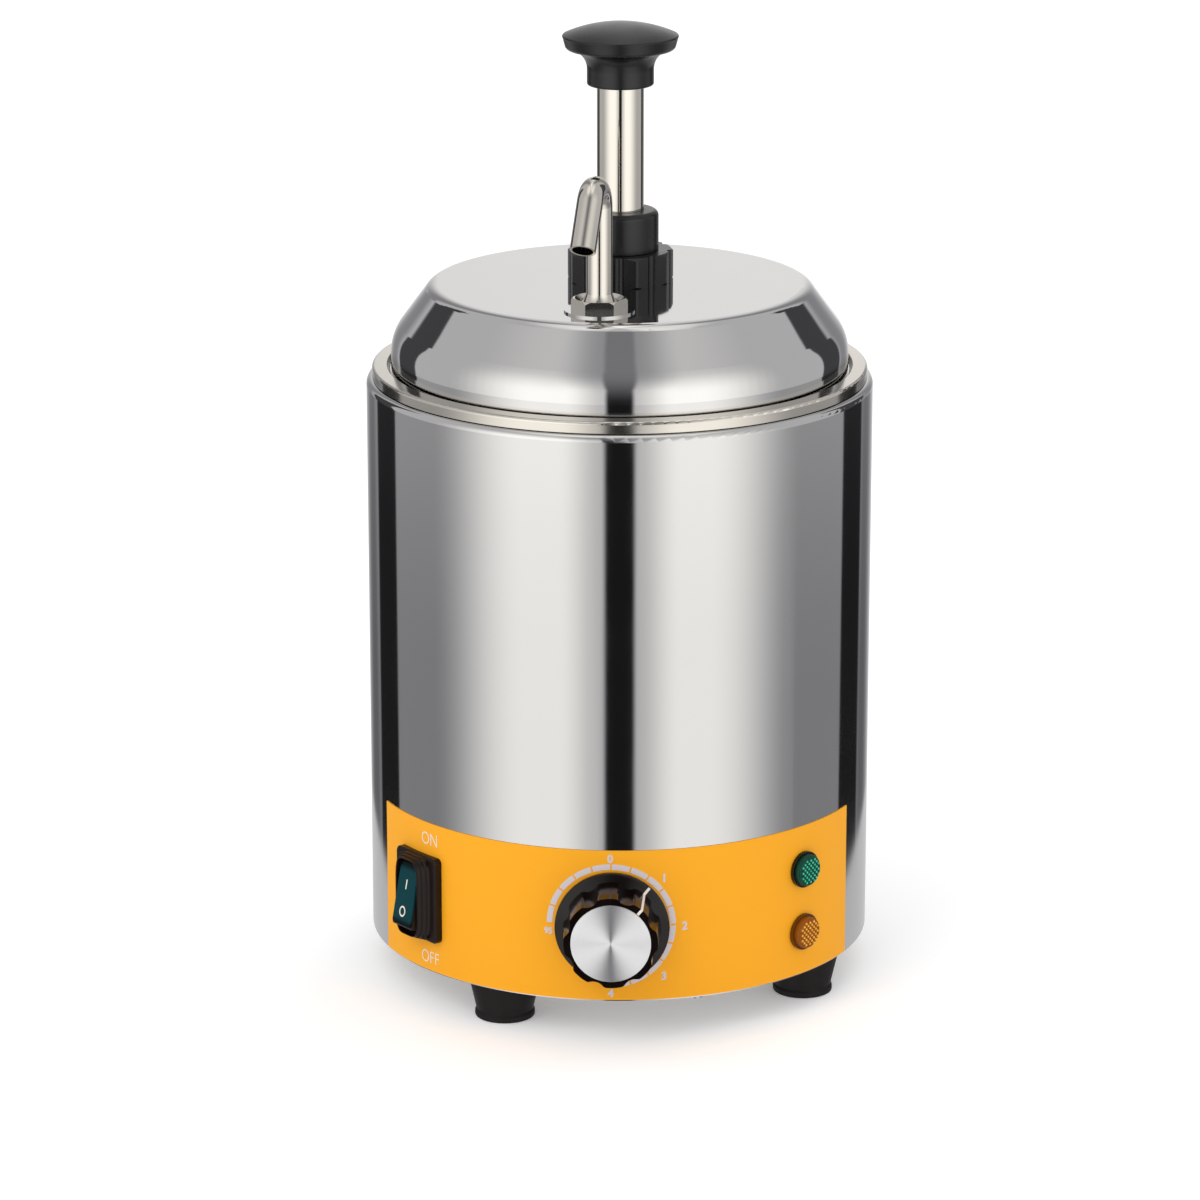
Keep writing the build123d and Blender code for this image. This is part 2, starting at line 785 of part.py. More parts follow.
# Moulded knob: domed skirt, eight-lobed tapered grip, cored from behind round its hub.
grip_base = dial_back_gap + dial_skirt_thickness
grip_front = dial_depth - dial_cap_proud
scoop_centre = dial_grip_radius - dial_scoop_depth + dial_scoop_radius
first_scoop = 90 - dial_pointer_angle + 180 / dial_lobes
dial_hollow_radius = dial_cap_radius - dial_wall
with BuildPart() as dial_knob:
    for level, draft in ((grip_base, 0), (grip_front, dial_grip_draft)):
        with BuildSketch(dial_plane.offset(level)) as grip_outline:
            Circle(dial_grip_radius - draft)
            with PolarLocations(scoop_centre - draft, dial_lobes, start_angle=first_scoop):
                Circle(dial_scoop_radius, mode=Mode.SUBTRACT)
            fillet(grip_outline.vertices(), radius=2.0)
    loft(ruled=True)
    with BuildSketch(Plane(origin=dial_plane.origin, x_dir=(1, 0, 0), z_dir=(0, 0, -1))):
        with BuildLine():
            FilletPolyline(
                (0, dial_back_gap),
                (dial_skirt_radius, dial_back_gap),
                (dial_skirt_radius, grip_base),
                (dial_grip_radius - dial_scoop_depth, grip_base + dial_skirt_rise),
                (0, grip_base + dial_skirt_rise),
                radius=[0, 0.4, 0.9, 0, 0],
                close=True,
            )
        make_face()
    revolve(axis=Axis(dial_plane.origin, (0, 1, 0)))
    with BuildSketch(dial_plane.offset(grip_front)):
        Circle(dial_cap_radius + seat_gap)
    extrude(amount=-(dial_cap_thickness - dial_cap_proud), mode=Mode.SUBTRACT)
    with BuildSketch(dial_plane.offset(dial_back_gap)):
        Circle(dial_hollow_radius)
        Circle(shaft_radius + dial_wall, mode=Mode.SUBTRACT)
    extrude(amount=grip_front - dial_cap_thickness - dial_wall - dial_back_gap, mode=Mode.SUBTRACT)
    with BuildSketch(dial_plane.offset(dial_back_gap)):
        Circle(shaft_radius + running_fit)
    extrude(amount=shaft_front - panel_radius - dial_back_gap, mode=Mode.SUBTRACT)
    flat_height = shaft_flat + dial_wall / 2
    with BuildSketch(dial_plane.offset(3 + seat_gap)):
        with Locations((0, shaft_radius - shaft_flat + running_fit + flat_height / 2)):
            Rectangle(shaft_radius, flat_height)
    extrude(amount=shaft_front - panel_radius - 3 - seat_gap)
save(dial_knob, "dial_knob")

with BuildPart() as dial_cap:
    with BuildSketch(dial_plane.offset(dial_depth - dial_cap_thickness)):
        Circle(dial_cap_radius)
    extrude(amount=dial_cap_thickness)
    cap_rim = dial_cap.edges().group_by(Axis.Y)[0]
    fillet(cap_rim, radius=0.4)
save(dial_cap, "dial_cap")

# ================================================================ rocker switch
# Switch body: a bezel that follows the shell, a raised hood and the case behind the panel.
outward_axis = Axis(switch_plane.origin, switch_plane.z_dir)
with BuildPart() as switch_body:
    with BuildSketch(switch_plane.offset(-bezel_thickness)):
        RectangleRounded(bezel_width, bezel_height, bezel_corner)
    extrude(amount=2 * bezel_thickness)
    chamfer(switch_body.faces().sort_by(outward_axis)[-1].edges(), length=0.9)
    with BuildSketch(Plane.XY.offset(control_height - bezel_height)):
        Circle(panel_radius + seat_gap)
    extrude(amount=2 * bezel_height, mode=Mode.SUBTRACT)
    with BuildSketch(switch_plane.offset(bezel_thickness)):
        RectangleRounded(hood_width, hood_height, 2.0)
    extrude(amount=hood_rise)
    fillet(switch_body.faces().sort_by(outward_axis)[-1].edges(), radius=0.8)
    with BuildSketch(switch_plane.offset(bezel_thickness / 2)):
        Rectangle(switch_body_width, switch_body_height)
    extrude(amount=-(switch_body_depth + bezel_thickness / 2))
    with BuildSketch(switch_plane.offset(bezel_thickness + hood_rise)):
        Rectangle(window_width, window_height)
    extrude(amount=-(bezel_thickness + hood_rise + rocker_reach), mode=Mode.SUBTRACT)
    with BuildSketch(Plane(origin=switch_plane.origin, x_dir=(0, 0, 1), z_dir=switch_plane.x_dir)):
        Circle(trunnion_radius + running_fit)
    extrude(amount=window_width / 2 + trunnion_length, both=True, mode=Mode.SUBTRACT)
    with BuildSketch(switch_plane.offset(-switch_body_depth)):
        with GridLocations(1, switch_body_height / 3.4, 1, 3):
            Rectangle(blade_width, blade_thickness)
    extrude(amount=-blade_length)
save(switch_body, "switch_body")

# Rocker: rests with its top end pressed in; its ends clear the window over the whole throw.
rocker_out = Vector(*switch_plane.z_dir) * cos(radians(rocker_tilt))
rocker_out += Vector(0, 0, 1) * sin(radians(rocker_tilt))
rocker_side = Plane(origin=switch_plane.origin, x_dir=rocker_out, z_dir=-switch_plane.x_dir)
rocker_front = Plane(origin=switch_plane.origin, x_dir=switch_plane.x_dir, z_dir=rocker_out)
rocker_width = window_width - 2 * rocker_clearance
rocker_half = rocker_face_length / 2
rocker_body_front = rocker_reach - rocker_lens_thickness
with BuildPart() as rocker:
    with BuildSketch(rocker_side):
        with BuildLine():
            FilletPolyline(
                (rocker_body_front, -rocker_half),
                (rocker_body_front, rocker_half),
                (0, rocker_half + 0.2),
                (-0.55 * rocker_reach, 0.45 * rocker_half),
                (-0.55 * rocker_reach, -0.45 * rocker_half),
                (0, -rocker_half - 0.2),
                radius=[1.0, 1.0, 2.0, 2.0, 2.0, 2.0],
                close=True,
            )
        make_face()
    extrude(amount=rocker_width / 2, both=True)
    with BuildSketch(rocker_side):
        Circle(trunnion_radius)
    extrude(amount=window_width / 2 + trunnion_length - rocker_clearance, both=True)
save(rocker, "rocker")

with BuildPart() as rocker_lens:
    with BuildSketch(rocker_front.offset(rocker_body_front)):
        RectangleRounded(rocker_width - 0.8, rocker_face_length - 1.6, 1.6)
    extrude(amount=rocker_lens_thickness)
    fillet(rocker_lens.faces().sort_by(Axis(switch_plane.origin, rocker_out))[-1].edges(), radius=0.5)
save(rocker_lens, "rocker_lens")

# ================================================================ pilot lamps
lamp_names = ("green_lamp", "amber_lamp")
with BuildPart() as lamp_bodies:
    for lamp_plane in lamp_planes:
        with BuildSketch(lamp_plane.offset(seat_gap)):
            Circle(lamp_flange_radius)
        extrude(amount=lamp_flange_thickness)
        with BuildSketch(lamp_plane.offset(seat_gap)):
            Circle(lamp_barrel_radius)
        extrude(amount=-lamp_barrel_length)
        with BuildSketch(lamp_plane.offset(seat_gap + lamp_flange_thickness)):
            Circle(lamp_stem_radius + seat_gap)
        extrude(amount=-lamp_stem_length, mode=Mode.SUBTRACT)
        with BuildSketch(lamp_plane.offset(seat_gap - lamp_barrel_length)):
            with GridLocations(1, lamp_stem_radius, 1, 2):
                Rectangle(blade_width / 2, blade_thickness)
        extrude(amount=-blade_length)
save(lamp_bodies, "lamp_bodies")

for lamp_plane, lamp_name in zip(lamp_planes, lamp_names):
    lens_seat = seat_gap + lamp_flange_thickness
    with BuildPart() as lamp_lens:
        with BuildSketch(lamp_plane.offset(lens_seat)):
            Circle(lamp_lens_radius)
        extrude(amount=lamp_lens_rise)
        lens_out = Axis(lamp_plane.origin, lamp_plane.z_dir)
        fillet(lamp_lens.faces().sort_by(lens_out)[-1].edges(), radius=1.4)
        with BuildSketch(lamp_plane.offset(lens_seat)):
            Circle(lamp_stem_radius)
        extrude(amount=-lamp_stem_length)
    save(lamp_lens, lamp_name)

# Nuts behind the shell; each nut's face clears the curve of the wall at its corners.
lamp_nut_seat = -(panel_radius - sqrt(shell_inside**2 - (0.58 * lamp_nut_flats) ** 2)) - seat_gap
with BuildPart() as lamp_nuts:
    for lamp_plane in lamp_planes:
        with BuildSketch(lamp_plane.offset(lamp_nut_seat)):
            RegularPolygon(lamp_nut_flats / 2, 6, major_radius=False)
            Circle(lamp_barrel_radius + running_fit, mode=Mode.SUBTRACT)
        extrude(amount=-lamp_nut_height)
save(lamp_nuts, "lamp_nuts")

# ================================================================ supply inlet
# Cord gland at the rear: hexagon, domed cap and threaded barrel round one stepped bore.
with BuildPart() as cord_gland:
    with BuildSketch(gland_plane.offset(seat_gap)):
        RegularPolygon(gland_flats / 2, 6, major_radius=False)
    extrude(amount=gland_hex_height)
    with BuildSketch(gland_plane.offset(seat_gap + gland_hex_height)):
        Circle(gland_dome_radius)
    extrude(amount=gland_length - gland_hex_height - seat_gap)
    fillet(cord_gland.edges().group_by(Axis.Y)[-1], radius=3.0)
    with BuildSketch(gland_plane.offset(seat_gap)):
        Circle(gland_thread_radius)
    extrude(amount=-gland_thread_length)
    # the cap grips the cord in a bore close to its size, and the barrel behind runs wider
    with BuildSketch(gland_plane.offset(gland_length)):
        Circle(gland_bore_radius)
    extrude(amount=-gland_clamp_length, mode=Mode.SUBTRACT)
    with BuildSketch(gland_plane.offset(gland_length - gland_clamp_length)):
        Circle(gland_barrel_bore_radius)
    extrude(amount=-(gland_length + gland_thread_length), mode=Mode.SUBTRACT)
save(cord_gland, "cord_gland")

gland_nut_seat = -(shell_radius - sqrt(shell_inside**2 - (0.58 * gland_flats) ** 2)) - seat_gap
with BuildPart() as gland_nut:
    with BuildSketch(gland_plane.offset(gland_nut_seat)):
        RegularPolygon(gland_flats / 2, 6, major_radius=False)
        Circle(gland_thread_radius + running_fit, mode=Mode.SUBTRACT)
    extrude(amount=-gland_nut_height)
save(gland_nut, "gland_nut")

# Terminal block on the bottom plate: moulded strip with wire ways and screw wells.
with BuildPart() as terminal_block:
    with BuildSketch(Plane.XY.offset(plate_top)):
        with Locations((block_x, block_y)):
            RectangleRounded(block_length, block_width, 1.5)
    extrude(amount=block_height)
    with BuildSketch(Plane.XY.offset(plate_top + block_height)):
        with Locations((block_x, block_y)):
            with GridLocations(block_length / 3.4, block_width / 2, 3, 2):
                Circle(2.4)
    extrude(amount=-block_height / 2, mode=Mode.SUBTRACT)
    with BuildSketch(Plane.XZ.offset(-(block_y + block_width / 2))):
        with Locations((block_x, plate_top + block_height * 0.4)):
            with GridLocations(block_length / 3.4, 1, 3, 1):
                Circle(2.0)
    extrude(amount=block_width / 3, mode=Mode.SUBTRACT)
save(terminal_block, "terminal_block")

# ================================================================ pot
with BuildPart() as inner_pot:
    with BuildSketch(Plane.XZ):
        with BuildLine():
            FilletPolyline(
                (0, pot_floor),
                (pot_radius, pot_floor),
                (pot_radius, tank_flange_top),
                (pot_flange_radius, tank_flange_top),
                radius=[pot_corner, neck_bend],
            )
            offset(amount=pot_wall, side=Side.LEFT)
        make_face()
    revolve(axis=Axis.Z)
save(inner_pot, "inner_pot")

# ================================================================ lid and pump
# Lid: flat top, conical shoulder easing into a straight skirt, beaded lower edge.
with BuildPart() as lid_shell:
    with BuildSketch(Plane.XZ):
        with BuildLine():
            FilletPolyline(
                (0, lid_top),
                (lid_top_radius, lid_top),
                (lid_skirt_radius, lid_top - lid_cone_height),
                (lid_skirt_radius, lid_bottom),
                radius=[lid_edge_round, lid_shoulder_round],
            )
            offset(amount=lid_wall, side=Side.RIGHT)
        make_face()
        with BuildLine():
            FilletPolyline(
                (lid_skirt_radius - lid_wall, lid_bottom),
                (lid_lip_radius, lid_bottom),
                (lid_lip_radius, lid_bottom + lid_lip_height),
                (lid_skirt_radius - lid_wall, lid_bottom + lid_lip_height),
                radius=[0, 0, 0.5, 0],
                close=True,
            )
        make_face()
    revolve(axis=Axis.Z)
    with BuildSketch(Plane.XY.offset(lid_top)):
        with Locations(pump_axis):
            Circle(cylinder_radius + hole_clearance)
        with Locations(riser_axis):
            Circle(stub_radius + hole_clearance)
    extrude(amount=-2 * lid_wall, mode=Mode.SUBTRACT)
save(lid_shell, "lid_shell")

with BuildPart() as pump_gasket:
    with BuildSketch(Plane.XY.offset(cylinder_flange_top)):
        with Locations(pump_axis):
            Circle(cylinder_flange_radius)
            Circle(cylinder_radius + hole_clearance, mode=Mode.SUBTRACT)
    extrude(amount=gasket_thickness)
save(pump_gasket, "pump_gasket")

# Pump cylinder: tube with the flange that clamps under the lid.
with BuildPart() as pump_cylinder:
    with BuildSketch(Plane.XY.offset(cylinder_bottom)):
        with Locations(pump_axis):
            Circle(cylinder_radius)
    extrude(amount=lock_nut_top - cylinder_bottom)
    with BuildSketch(Plane.XY.offset(cylinder_flange_top)):
        with Locations(pump_axis):
            Circle(cylinder_flange_radius)
    extrude(amount=-cylinder_flange_height)
    with BuildSketch(Plane.XY.offset(cylinder_bottom)):
        with Locations(pump_axis):
            Circle(cylinder_bore)
    extrude(amount=lock_nut_top - cylinder_bottom, mode=Mode.SUBTRACT)
save(pump_cylinder, "pump_cylinder")

# Lock nut: nine flats parted by round grooves, cut from a turned blank with eased edges.
with BuildPart() as pump_lock_nut:
    with BuildSketch(section_plane(pump_x, pump_y)):
        with BuildLine():
            Polyline(
                (cylinder_radius + screw_fit, lid_top),
                (lock_nut_radius + 0.6 - lock_nut_chamfer / 2, lid_top),
                (lock_nut_radius + 0.6, lid_top + lock_nut_chamfer / 2),
                (lock_nut_radius + 0.6, lock_nut_top - lock_nut_chamfer),
                (lock_nut_radius + 0.6 - lock_nut_chamfer, lock_nut_top),
                (cylinder_radius + screw_fit, lock_nut_top),
                close=True,
            )
        make_face()
    revolve(axis=axis_at(pump_x, pump_y))
    with BuildSketch(Plane.XY.offset(lid_top)):
        with Locations(pump_axis):
            RegularPolygon(
                lock_nut_flat_radius,
                lock_nut_lobes,
                major_radius=False,
                rotation=-90 - 180 / lock_nut_lobes,
            )
            with PolarLocations(lock_nut_radius + 0.5, lock_nut_lobes, start_angle=-90):
                Circle(lock_nut_groove, mode=Mode.SUBTRACT)
    extrude(amount=lock_nut_height, mode=Mode.INTERSECT)
save(pump_lock_nut, "pump_lock_nut")

# Collar: guides the plunger tube and plugs the cylinder's top.
with BuildPart() as pump_collar:
    with BuildSketch(section_plane(pump_x, pump_y)):
        with BuildLine():
            FilletPolyline(
                (tube_radius + running_fit, lock_nut_top - collar_stub_length),
                (cylinder_bore - screw_fit, lock_nut_top - collar_stub_length),
                (cylinder_bore - screw_fit, lock_nut_top),
                (collar_radius, lock_nut_top),
                (collar_radius, collar_top),
                (tube_radius + running_fit, collar_top),
                radius=[0, 0.4, 0, 0.3, collar_round, 0.3],
                close=True,
            )
        make_face()
    revolve(axis=axis_at(pump_x, pump_y))
save(pump_collar, "pump_collar")

# ================================================================ plunger
tube_top = knob_bottom + knob_socket_depth
with BuildPart() as plunger_tube:
    with BuildSketch(Plane.XY.offset(tube_bottom)):
        with Locations(pump_axis):
            Circle(tube_radius)
            Circle(tube_radius - tube_wall, mode=Mode.SUBTRACT)
    extrude(amount=tube_top - tube_bottom)
save(plunger_tube, "plunger_tube")

# Knob: straight neck, flare that turns out tangentially to a disc, low domed top.
neck_top = knob_bottom + knob_neck_height
flare_top = neck_top + knob_flare_height
rim_level = flare_top + knob_rim_height
with BuildPart() as pump_knob:
    with BuildSketch(section_plane(pump_x, pump_y)):
        with BuildLine():
            Polyline(
                (0, knob_top),
                (0, tube_top + seat_gap),
                (tube_radius + running_fit, tube_top + seat_gap),
                (tube_radius + running_fit, knob_bottom),
                (knob_neck_radius - 1, knob_bottom),
            )
            TangentArc(
                (knob_neck_radius - 1, knob_bottom), (knob_neck_radius, knob_bottom + 1), tangent=(1, 0)
            )
            Line((knob_neck_radius, knob_bottom + 1), (knob_neck_radius, neck_top))
            flare = TangentArc(
                (knob_neck_radius, neck_top), (knob_disc_radius - 1.6, flare_top), tangent=(0, 1)
            )
            lower_edge = TangentArc(
                flare @ 1, (knob_disc_radius + 0.25, flare_top + 1.5), tangent=flare % 1
            )
            Line(lower_edge @ 1, (knob_rim_radius - 0.15, rim_level - 0.6))
            ThreePointArc(
                (knob_rim_radius - 0.15, rim_level - 0.6),
                (knob_rim_radius, rim_level),
                (knob_rim_radius - 0.4, rim_level + 0.5),
            )
            TangentArc((0, knob_top), (knob_rim_radius - 0.4, rim_level + 0.5), tangent=(1, 0))
        make_face()
    revolve(axis=axis_at(pump_x, pump_y))
save(pump_knob, "pump_knob")

# Piston: two seal grooves and a plug that fits the plunger tube.
seal_levels = [piston_bottom + piston_height * share for share in (0.22, 0.62)]
with BuildPart() as piston:
    with BuildSketch(Plane.XY.offset(piston_bottom)):
        with Locations(pump_axis):
            Circle(piston_radius)
    extrude(amount=piston_height)
    with BuildSketch(Plane.XY.offset(tube_bottom)):
        with Locations(pump_axis):
            Circle(tube_radius - tube_wall - running_fit)
    extrude(amount=piston_plug_length)
    for level in seal_levels:
        with BuildSketch(Plane.XY.offset(level)):
            with Locations(pump_axis):
                Circle(piston_radius)
                Circle(seal_seat_radius, mode=Mode.SUBTRACT)
        extrude(amount=seal_section + seat_gap, mode=Mode.SUBTRACT)
save(piston, "piston")

with BuildPart() as piston_seals:
    for level in seal_levels:
        with BuildSketch(Plane.XY.offset(level)):
            with Locations(pump_axis):
                Circle(cylinder_bore - running_fit)
                Circle(seal_seat_radius + seat_gap, mode=Mode.SUBTRACT)
        extrude(amount=seal_section)
save(piston_seals, "piston_seals")

# Return spring: round wire coiled from the foot valve to the piston's underside.
spring_height = piston_bottom - cylinder_bottom - 2 * (spring_wire + seat_gap)
with BuildPart() as return_spring:
    with BuildLine() as coil:
        Helix(
            pitch=spring_height / spring_coils,
            height=spring_height,
            radius=spring_radius,
            center=(pump_x, pump_y, cylinder_bottom + spring_wire + seat_gap),
        )
    with BuildSketch(Plane(origin=coil.line @ 0, z_dir=coil.line % 0)):
        Circle(spring_wire)
    sweep(path=coil.line, is_frenet=True)
save(return_spring, "return_spring")

# ================================================================ foot valve
# Foot valve: cylinder socket, ball seat, and an arm to the discharge tube's socket.
arm_bottom = valve_bottom + 1.0
reach = Vector(riser_x - pump_x, riser_y - pump_y)
arm_plane = Plane(origin=(pump_x, pump_y, arm_bottom), x_dir=(reach.X, reach.Y, 0), z_dir=(0, 0, 1))
chamber_level = cylinder_bottom - (valve_floor - 2) + (chamber_radius - inlet_radius)
passage_level = arm_bottom + arm_height / 2
with BuildPart() as foot_valve:
    with BuildSketch(Plane.XY.offset(valve_bottom)):
        with Locations(pump_axis):
            Circle(valve_radius)
    extrude(amount=valve_floor + valve_socket_depth)
    with BuildSketch(Plane.XY.offset(valve_bottom)):
        with Locations(riser_axis):
            Circle(boss_radius)
    extrude(amount=valve_floor + valve_socket_depth)
    with BuildSketch(arm_plane):
        with Locations((reach.length / 2, 0)):
            Rectangle(reach.length, arm_width)
    extrude(amount=arm_height)
    with BuildSketch(Plane.XY.offset(cylinder_bottom)):
        with Locations(pump_axis):
            Circle(cylinder_radius + screw_fit)
        with Locations(riser_axis):
            Circle(discharge_radius + screw_fit)
    extrude(amount=valve_socket_depth, mode=Mode.SUBTRACT)
    with BuildSketch(section_plane(pump_x, pump_y)):
        with BuildLine():
            Polyline(
                (0, valve_bottom),
                (inlet_radius, valve_bottom),
                (inlet_radius, chamber_level - (chamber_radius - inlet_radius)),
                (chamber_radius, chamber_level),
                (chamber_radius, cylinder_bottom),
                (0, cylinder_bottom),
                close=True,
            )
        make_face()
    revolve(axis=axis_at(pump_x, pump_y), mode=Mode.SUBTRACT)
    with BuildSketch(
        Plane(origin=(pump_x, pump_y, passage_level), x_dir=(0, 0, 1), z_dir=(reach.X, reach.Y, 0))
    ):
        Circle(passage_radius)
    extrude(amount=reach.length, mode=Mode.SUBTRACT)
    with BuildSketch(Plane.XY.offset(cylinder_bottom)):
        with Locations(riser_axis):
            Circle(discharge_bore)
    extrude(amount=passage_level - passage_radius - 1 - cylinder_bottom, mode=Mode.SUBTRACT)
save(foot_valve, "foot_valve")

# Valve ball: rests on the conical seat and lifts off it as the piston rises.
ball_level = chamber_level - (chamber_radius - inlet_radius)
ball_level += sqrt(ball_radius**2 - inlet_radius**2) + seat_gap
with BuildPart() as valve_ball:
    with Locations((pump_x, pump_y, ball_level)):
        Sphere(ball_radius)
save(valve_ball, "valve_ball")

# ================================================================ discharge tube and spout
with BuildPart() as discharge_tube:
    with BuildSketch(Plane.XY.offset(cylinder_bottom)):
        with Locations(riser_axis):
            Circle(discharge_radius)
    extrude(amount=stub_top - cylinder_bottom)
    with BuildSketch(Plane.XY.offset(lid_under - stub_flange_height)):
        with Locations(riser_axis):
            Circle(stub_flange_radius)
    extrude(amount=stub_flange_height)
    with BuildSketch(Plane.XY.offset(lid_under)):
        with Locations(riser_axis):
            Circle(stub_radius)
    extrude(amount=stub_top - lid_under)
    with BuildSketch(Plane.XY.offset(cylinder_bottom)):
        with Locations(riser_axis):
            Circle(discharge_bore)
    extrude(amount=stub_top - cylinder_bottom, mode=Mode.SUBTRACT)
save(discharge_tube, "discharge_tube")

with BuildPart() as spout_washer:
    with BuildSketch(Plane.XY.offset(lid_top)):
        with Locations(riser_axis):
            Circle(washer_radius)
            Circle(stub_radius + hole_clearance, mode=Mode.SUBTRACT)
    extrude(amount=washer_thickness)
save(spout_washer, "spout_washer")

# Union nut: hexagon from a turned blank; its dished top shows the spout's flare.
flange_level = stub_top + seat_gap
shoulder_level = flange_level + spout_flange_height + seat_gap
with BuildPart() as union_nut:
    with BuildSketch(section_plane(riser_x, riser_y)):
        with BuildLine():
            FilletPolyline(
                (stub_radius + running_fit, washer_top),
                (union_nut_corner_radius, washer_top),
                (union_nut_corner_radius, union_nut_top - 1.1),
                (union_nut_corner_radius - 0.9, union_nut_top),
                (union_recess_radius, union_nut_top),
                (spout_flare_radius + hole_clearance, shoulder_level + 0.8),
                (spout_flare_radius + hole_clearance, shoulder_level),
                (stub_radius + running_fit, shoulder_level),
                radius=[0, 0, 0.5, 0.5, 0.2, 0, 0, 0],
                close=True,
            )
        make_face()
    revolve(axis=axis_at(riser_x, riser_y))
    with BuildSketch(Plane.XY.offset(washer_top)):
        with Locations(riser_axis):
            RegularPolygon(union_nut_corner_radius, 6, rotation=-90 + 30 + union_nut_turn)
    extrude(amount=union_nut_height, mode=Mode.INTERSECT)
save(union_nut, "union_nut")

# Spout: flanged and flared foot, tall riser and a gooseneck cut square at the mouth.
spout_plane = Plane(
    origin=(riser_x, riser_y, 0),
    x_dir=(cos(radians(spout_angle)), sin(radians(spout_angle)), 0),
    z_dir=(sin(radians(spout_angle)), -cos(radians(spout_angle)), 0),
)
flare_bottom = flange_level + spout_flange_height
with BuildPart() as spout:
    with BuildLine(spout_plane) as spout_path:
        riser = Line((0, flange_level), (0, spout_bend_level))
        bend = JernArc(riser @ 1, (0, 1), spout_bend_radius, -spout_turn)
        PolarLine(bend @ 1, spout_tip_length, direction=bend % 1)
    with BuildSketch(Plane.XY.offset(flange_level)):
        with Locations(riser_axis):
            Circle(spout_radius)
    sweep(path=spout_path.line)
    with BuildSketch(section_plane(riser_x, riser_y)):
        with BuildLine():
            Polyline(
                (0, flange_level),
                (spout_flange_radius, flange_level),
                (spout_flange_radius, flare_bottom),
                (spout_flare_radius, flare_bottom),
            )
            ThreePointArc(
                (spout_flare_radius, flare_bottom),
                (
                    0.42 * spout_flare_radius + 0.58 * spout_radius - 0.25,
                    flare_bottom + 0.5 * spout_flare_height,
                ),
                (spout_radius, flare_bottom + spout_flare_height),
            )
            Polyline(
                (spout_radius, flare_bottom + spout_flare_height),
                (0, flare_bottom + spout_flare_height),
                (0, flange_level),
            )
        make_face()
    revolve(axis=axis_at(riser_x, riser_y))
    with BuildSketch(Plane.XY.offset(flange_level)):
        with Locations(riser_axis):
            Circle(spout_bore)
    sweep(path=spout_path.line, mode=Mode.SUBTRACT)
save(spout, "spout")
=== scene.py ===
"""Finishes, printed marks, lens detail and studio for a countertop topping warmer.

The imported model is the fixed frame. Lengths are metres, +Z is up, the control
panel faces -Y, and azimuths are measured about +Z from +X.
"""

from math import cos, pi, radians, sin

import bmesh
import bpy
from bpy.props import (FloatProperty, FloatVectorProperty, IntProperty, PointerProperty)
from mathutils import Matrix, Vector
from mathutils.bvhtree import BVHTree


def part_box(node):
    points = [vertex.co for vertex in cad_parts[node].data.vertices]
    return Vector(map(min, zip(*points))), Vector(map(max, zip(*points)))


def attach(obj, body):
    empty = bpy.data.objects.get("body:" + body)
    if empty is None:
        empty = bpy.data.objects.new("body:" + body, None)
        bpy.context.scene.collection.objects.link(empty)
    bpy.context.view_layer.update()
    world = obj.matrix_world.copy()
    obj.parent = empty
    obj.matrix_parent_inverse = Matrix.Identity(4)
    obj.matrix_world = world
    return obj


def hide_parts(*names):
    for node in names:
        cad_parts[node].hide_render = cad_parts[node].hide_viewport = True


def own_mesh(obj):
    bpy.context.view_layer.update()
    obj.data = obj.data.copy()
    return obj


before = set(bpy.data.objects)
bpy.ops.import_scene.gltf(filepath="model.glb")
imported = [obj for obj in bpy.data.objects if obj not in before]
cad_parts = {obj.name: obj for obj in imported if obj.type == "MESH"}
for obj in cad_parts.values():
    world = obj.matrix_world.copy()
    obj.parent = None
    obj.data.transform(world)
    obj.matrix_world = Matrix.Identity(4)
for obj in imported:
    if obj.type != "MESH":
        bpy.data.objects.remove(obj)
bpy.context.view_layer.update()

bl_info = {
    "name": "Topping Warmer",
    "version": (1, 0, 0),
    "blender": (4, 5, 0),
    "location": "View3D > Sidebar > Warmer",
    "description": "Dresses a heated topping warmer with its finishes and fine detail",
    "category": "Object",
}

# ------------------------------------------------------------------ places that follow the frame
MM = 0.001
PANEL_RADIUS = -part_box("control_panel")[0].y
CONTROL_LEVEL = 51.0 * MM
DIAL_AZIMUTH = radians(-90)
SWITCH_AZIMUTH = radians(-139.6)
LAMP_AZIMUTH = radians(-42.5)
LAMP_SPACING = 28.4 * MM
RISER_AXIS = (-7.1 * MM, -56.4 * MM)
POINTER_ANGLE = radians(41)
SPRING_WIRE = 0.8 * MM
CAMERA_PLACE = (0.0568, -2.13885, 0.78562)
CAMERA_TILT = pi / 2 - 0.2830
CAMERA_PAN = radians(1.75)


def linear(hex_colour):
    """An sRGB hex colour as linear RGBA."""
    parts = [int(hex_colour[i : i + 2], 16) / 255 for i in (1, 3, 5)]
    return (*[p / 12.92 if p <= 0.04045 else ((p + 0.055) / 1.055) ** 2.4 for p in parts], 1.0)


def per_mm(size):
    """Texture scale that makes one feature about this many millimetres wide."""
    return 1000.0 / size


# ------------------------------------------------------------------ settings a user would change
def colour(name, description, hex_colour):
    return FloatVectorProperty(
        name=name,
        description=description,
        default=linear(hex_colour),
        size=4,
        min=0.0,
        max=1.0,
        subtype="COLOR",
    )


def length(name, description, millimetres):
    return FloatProperty(
        name=name, description=description, default=millimetres * MM, min=0.0, unit="LENGTH"
    )


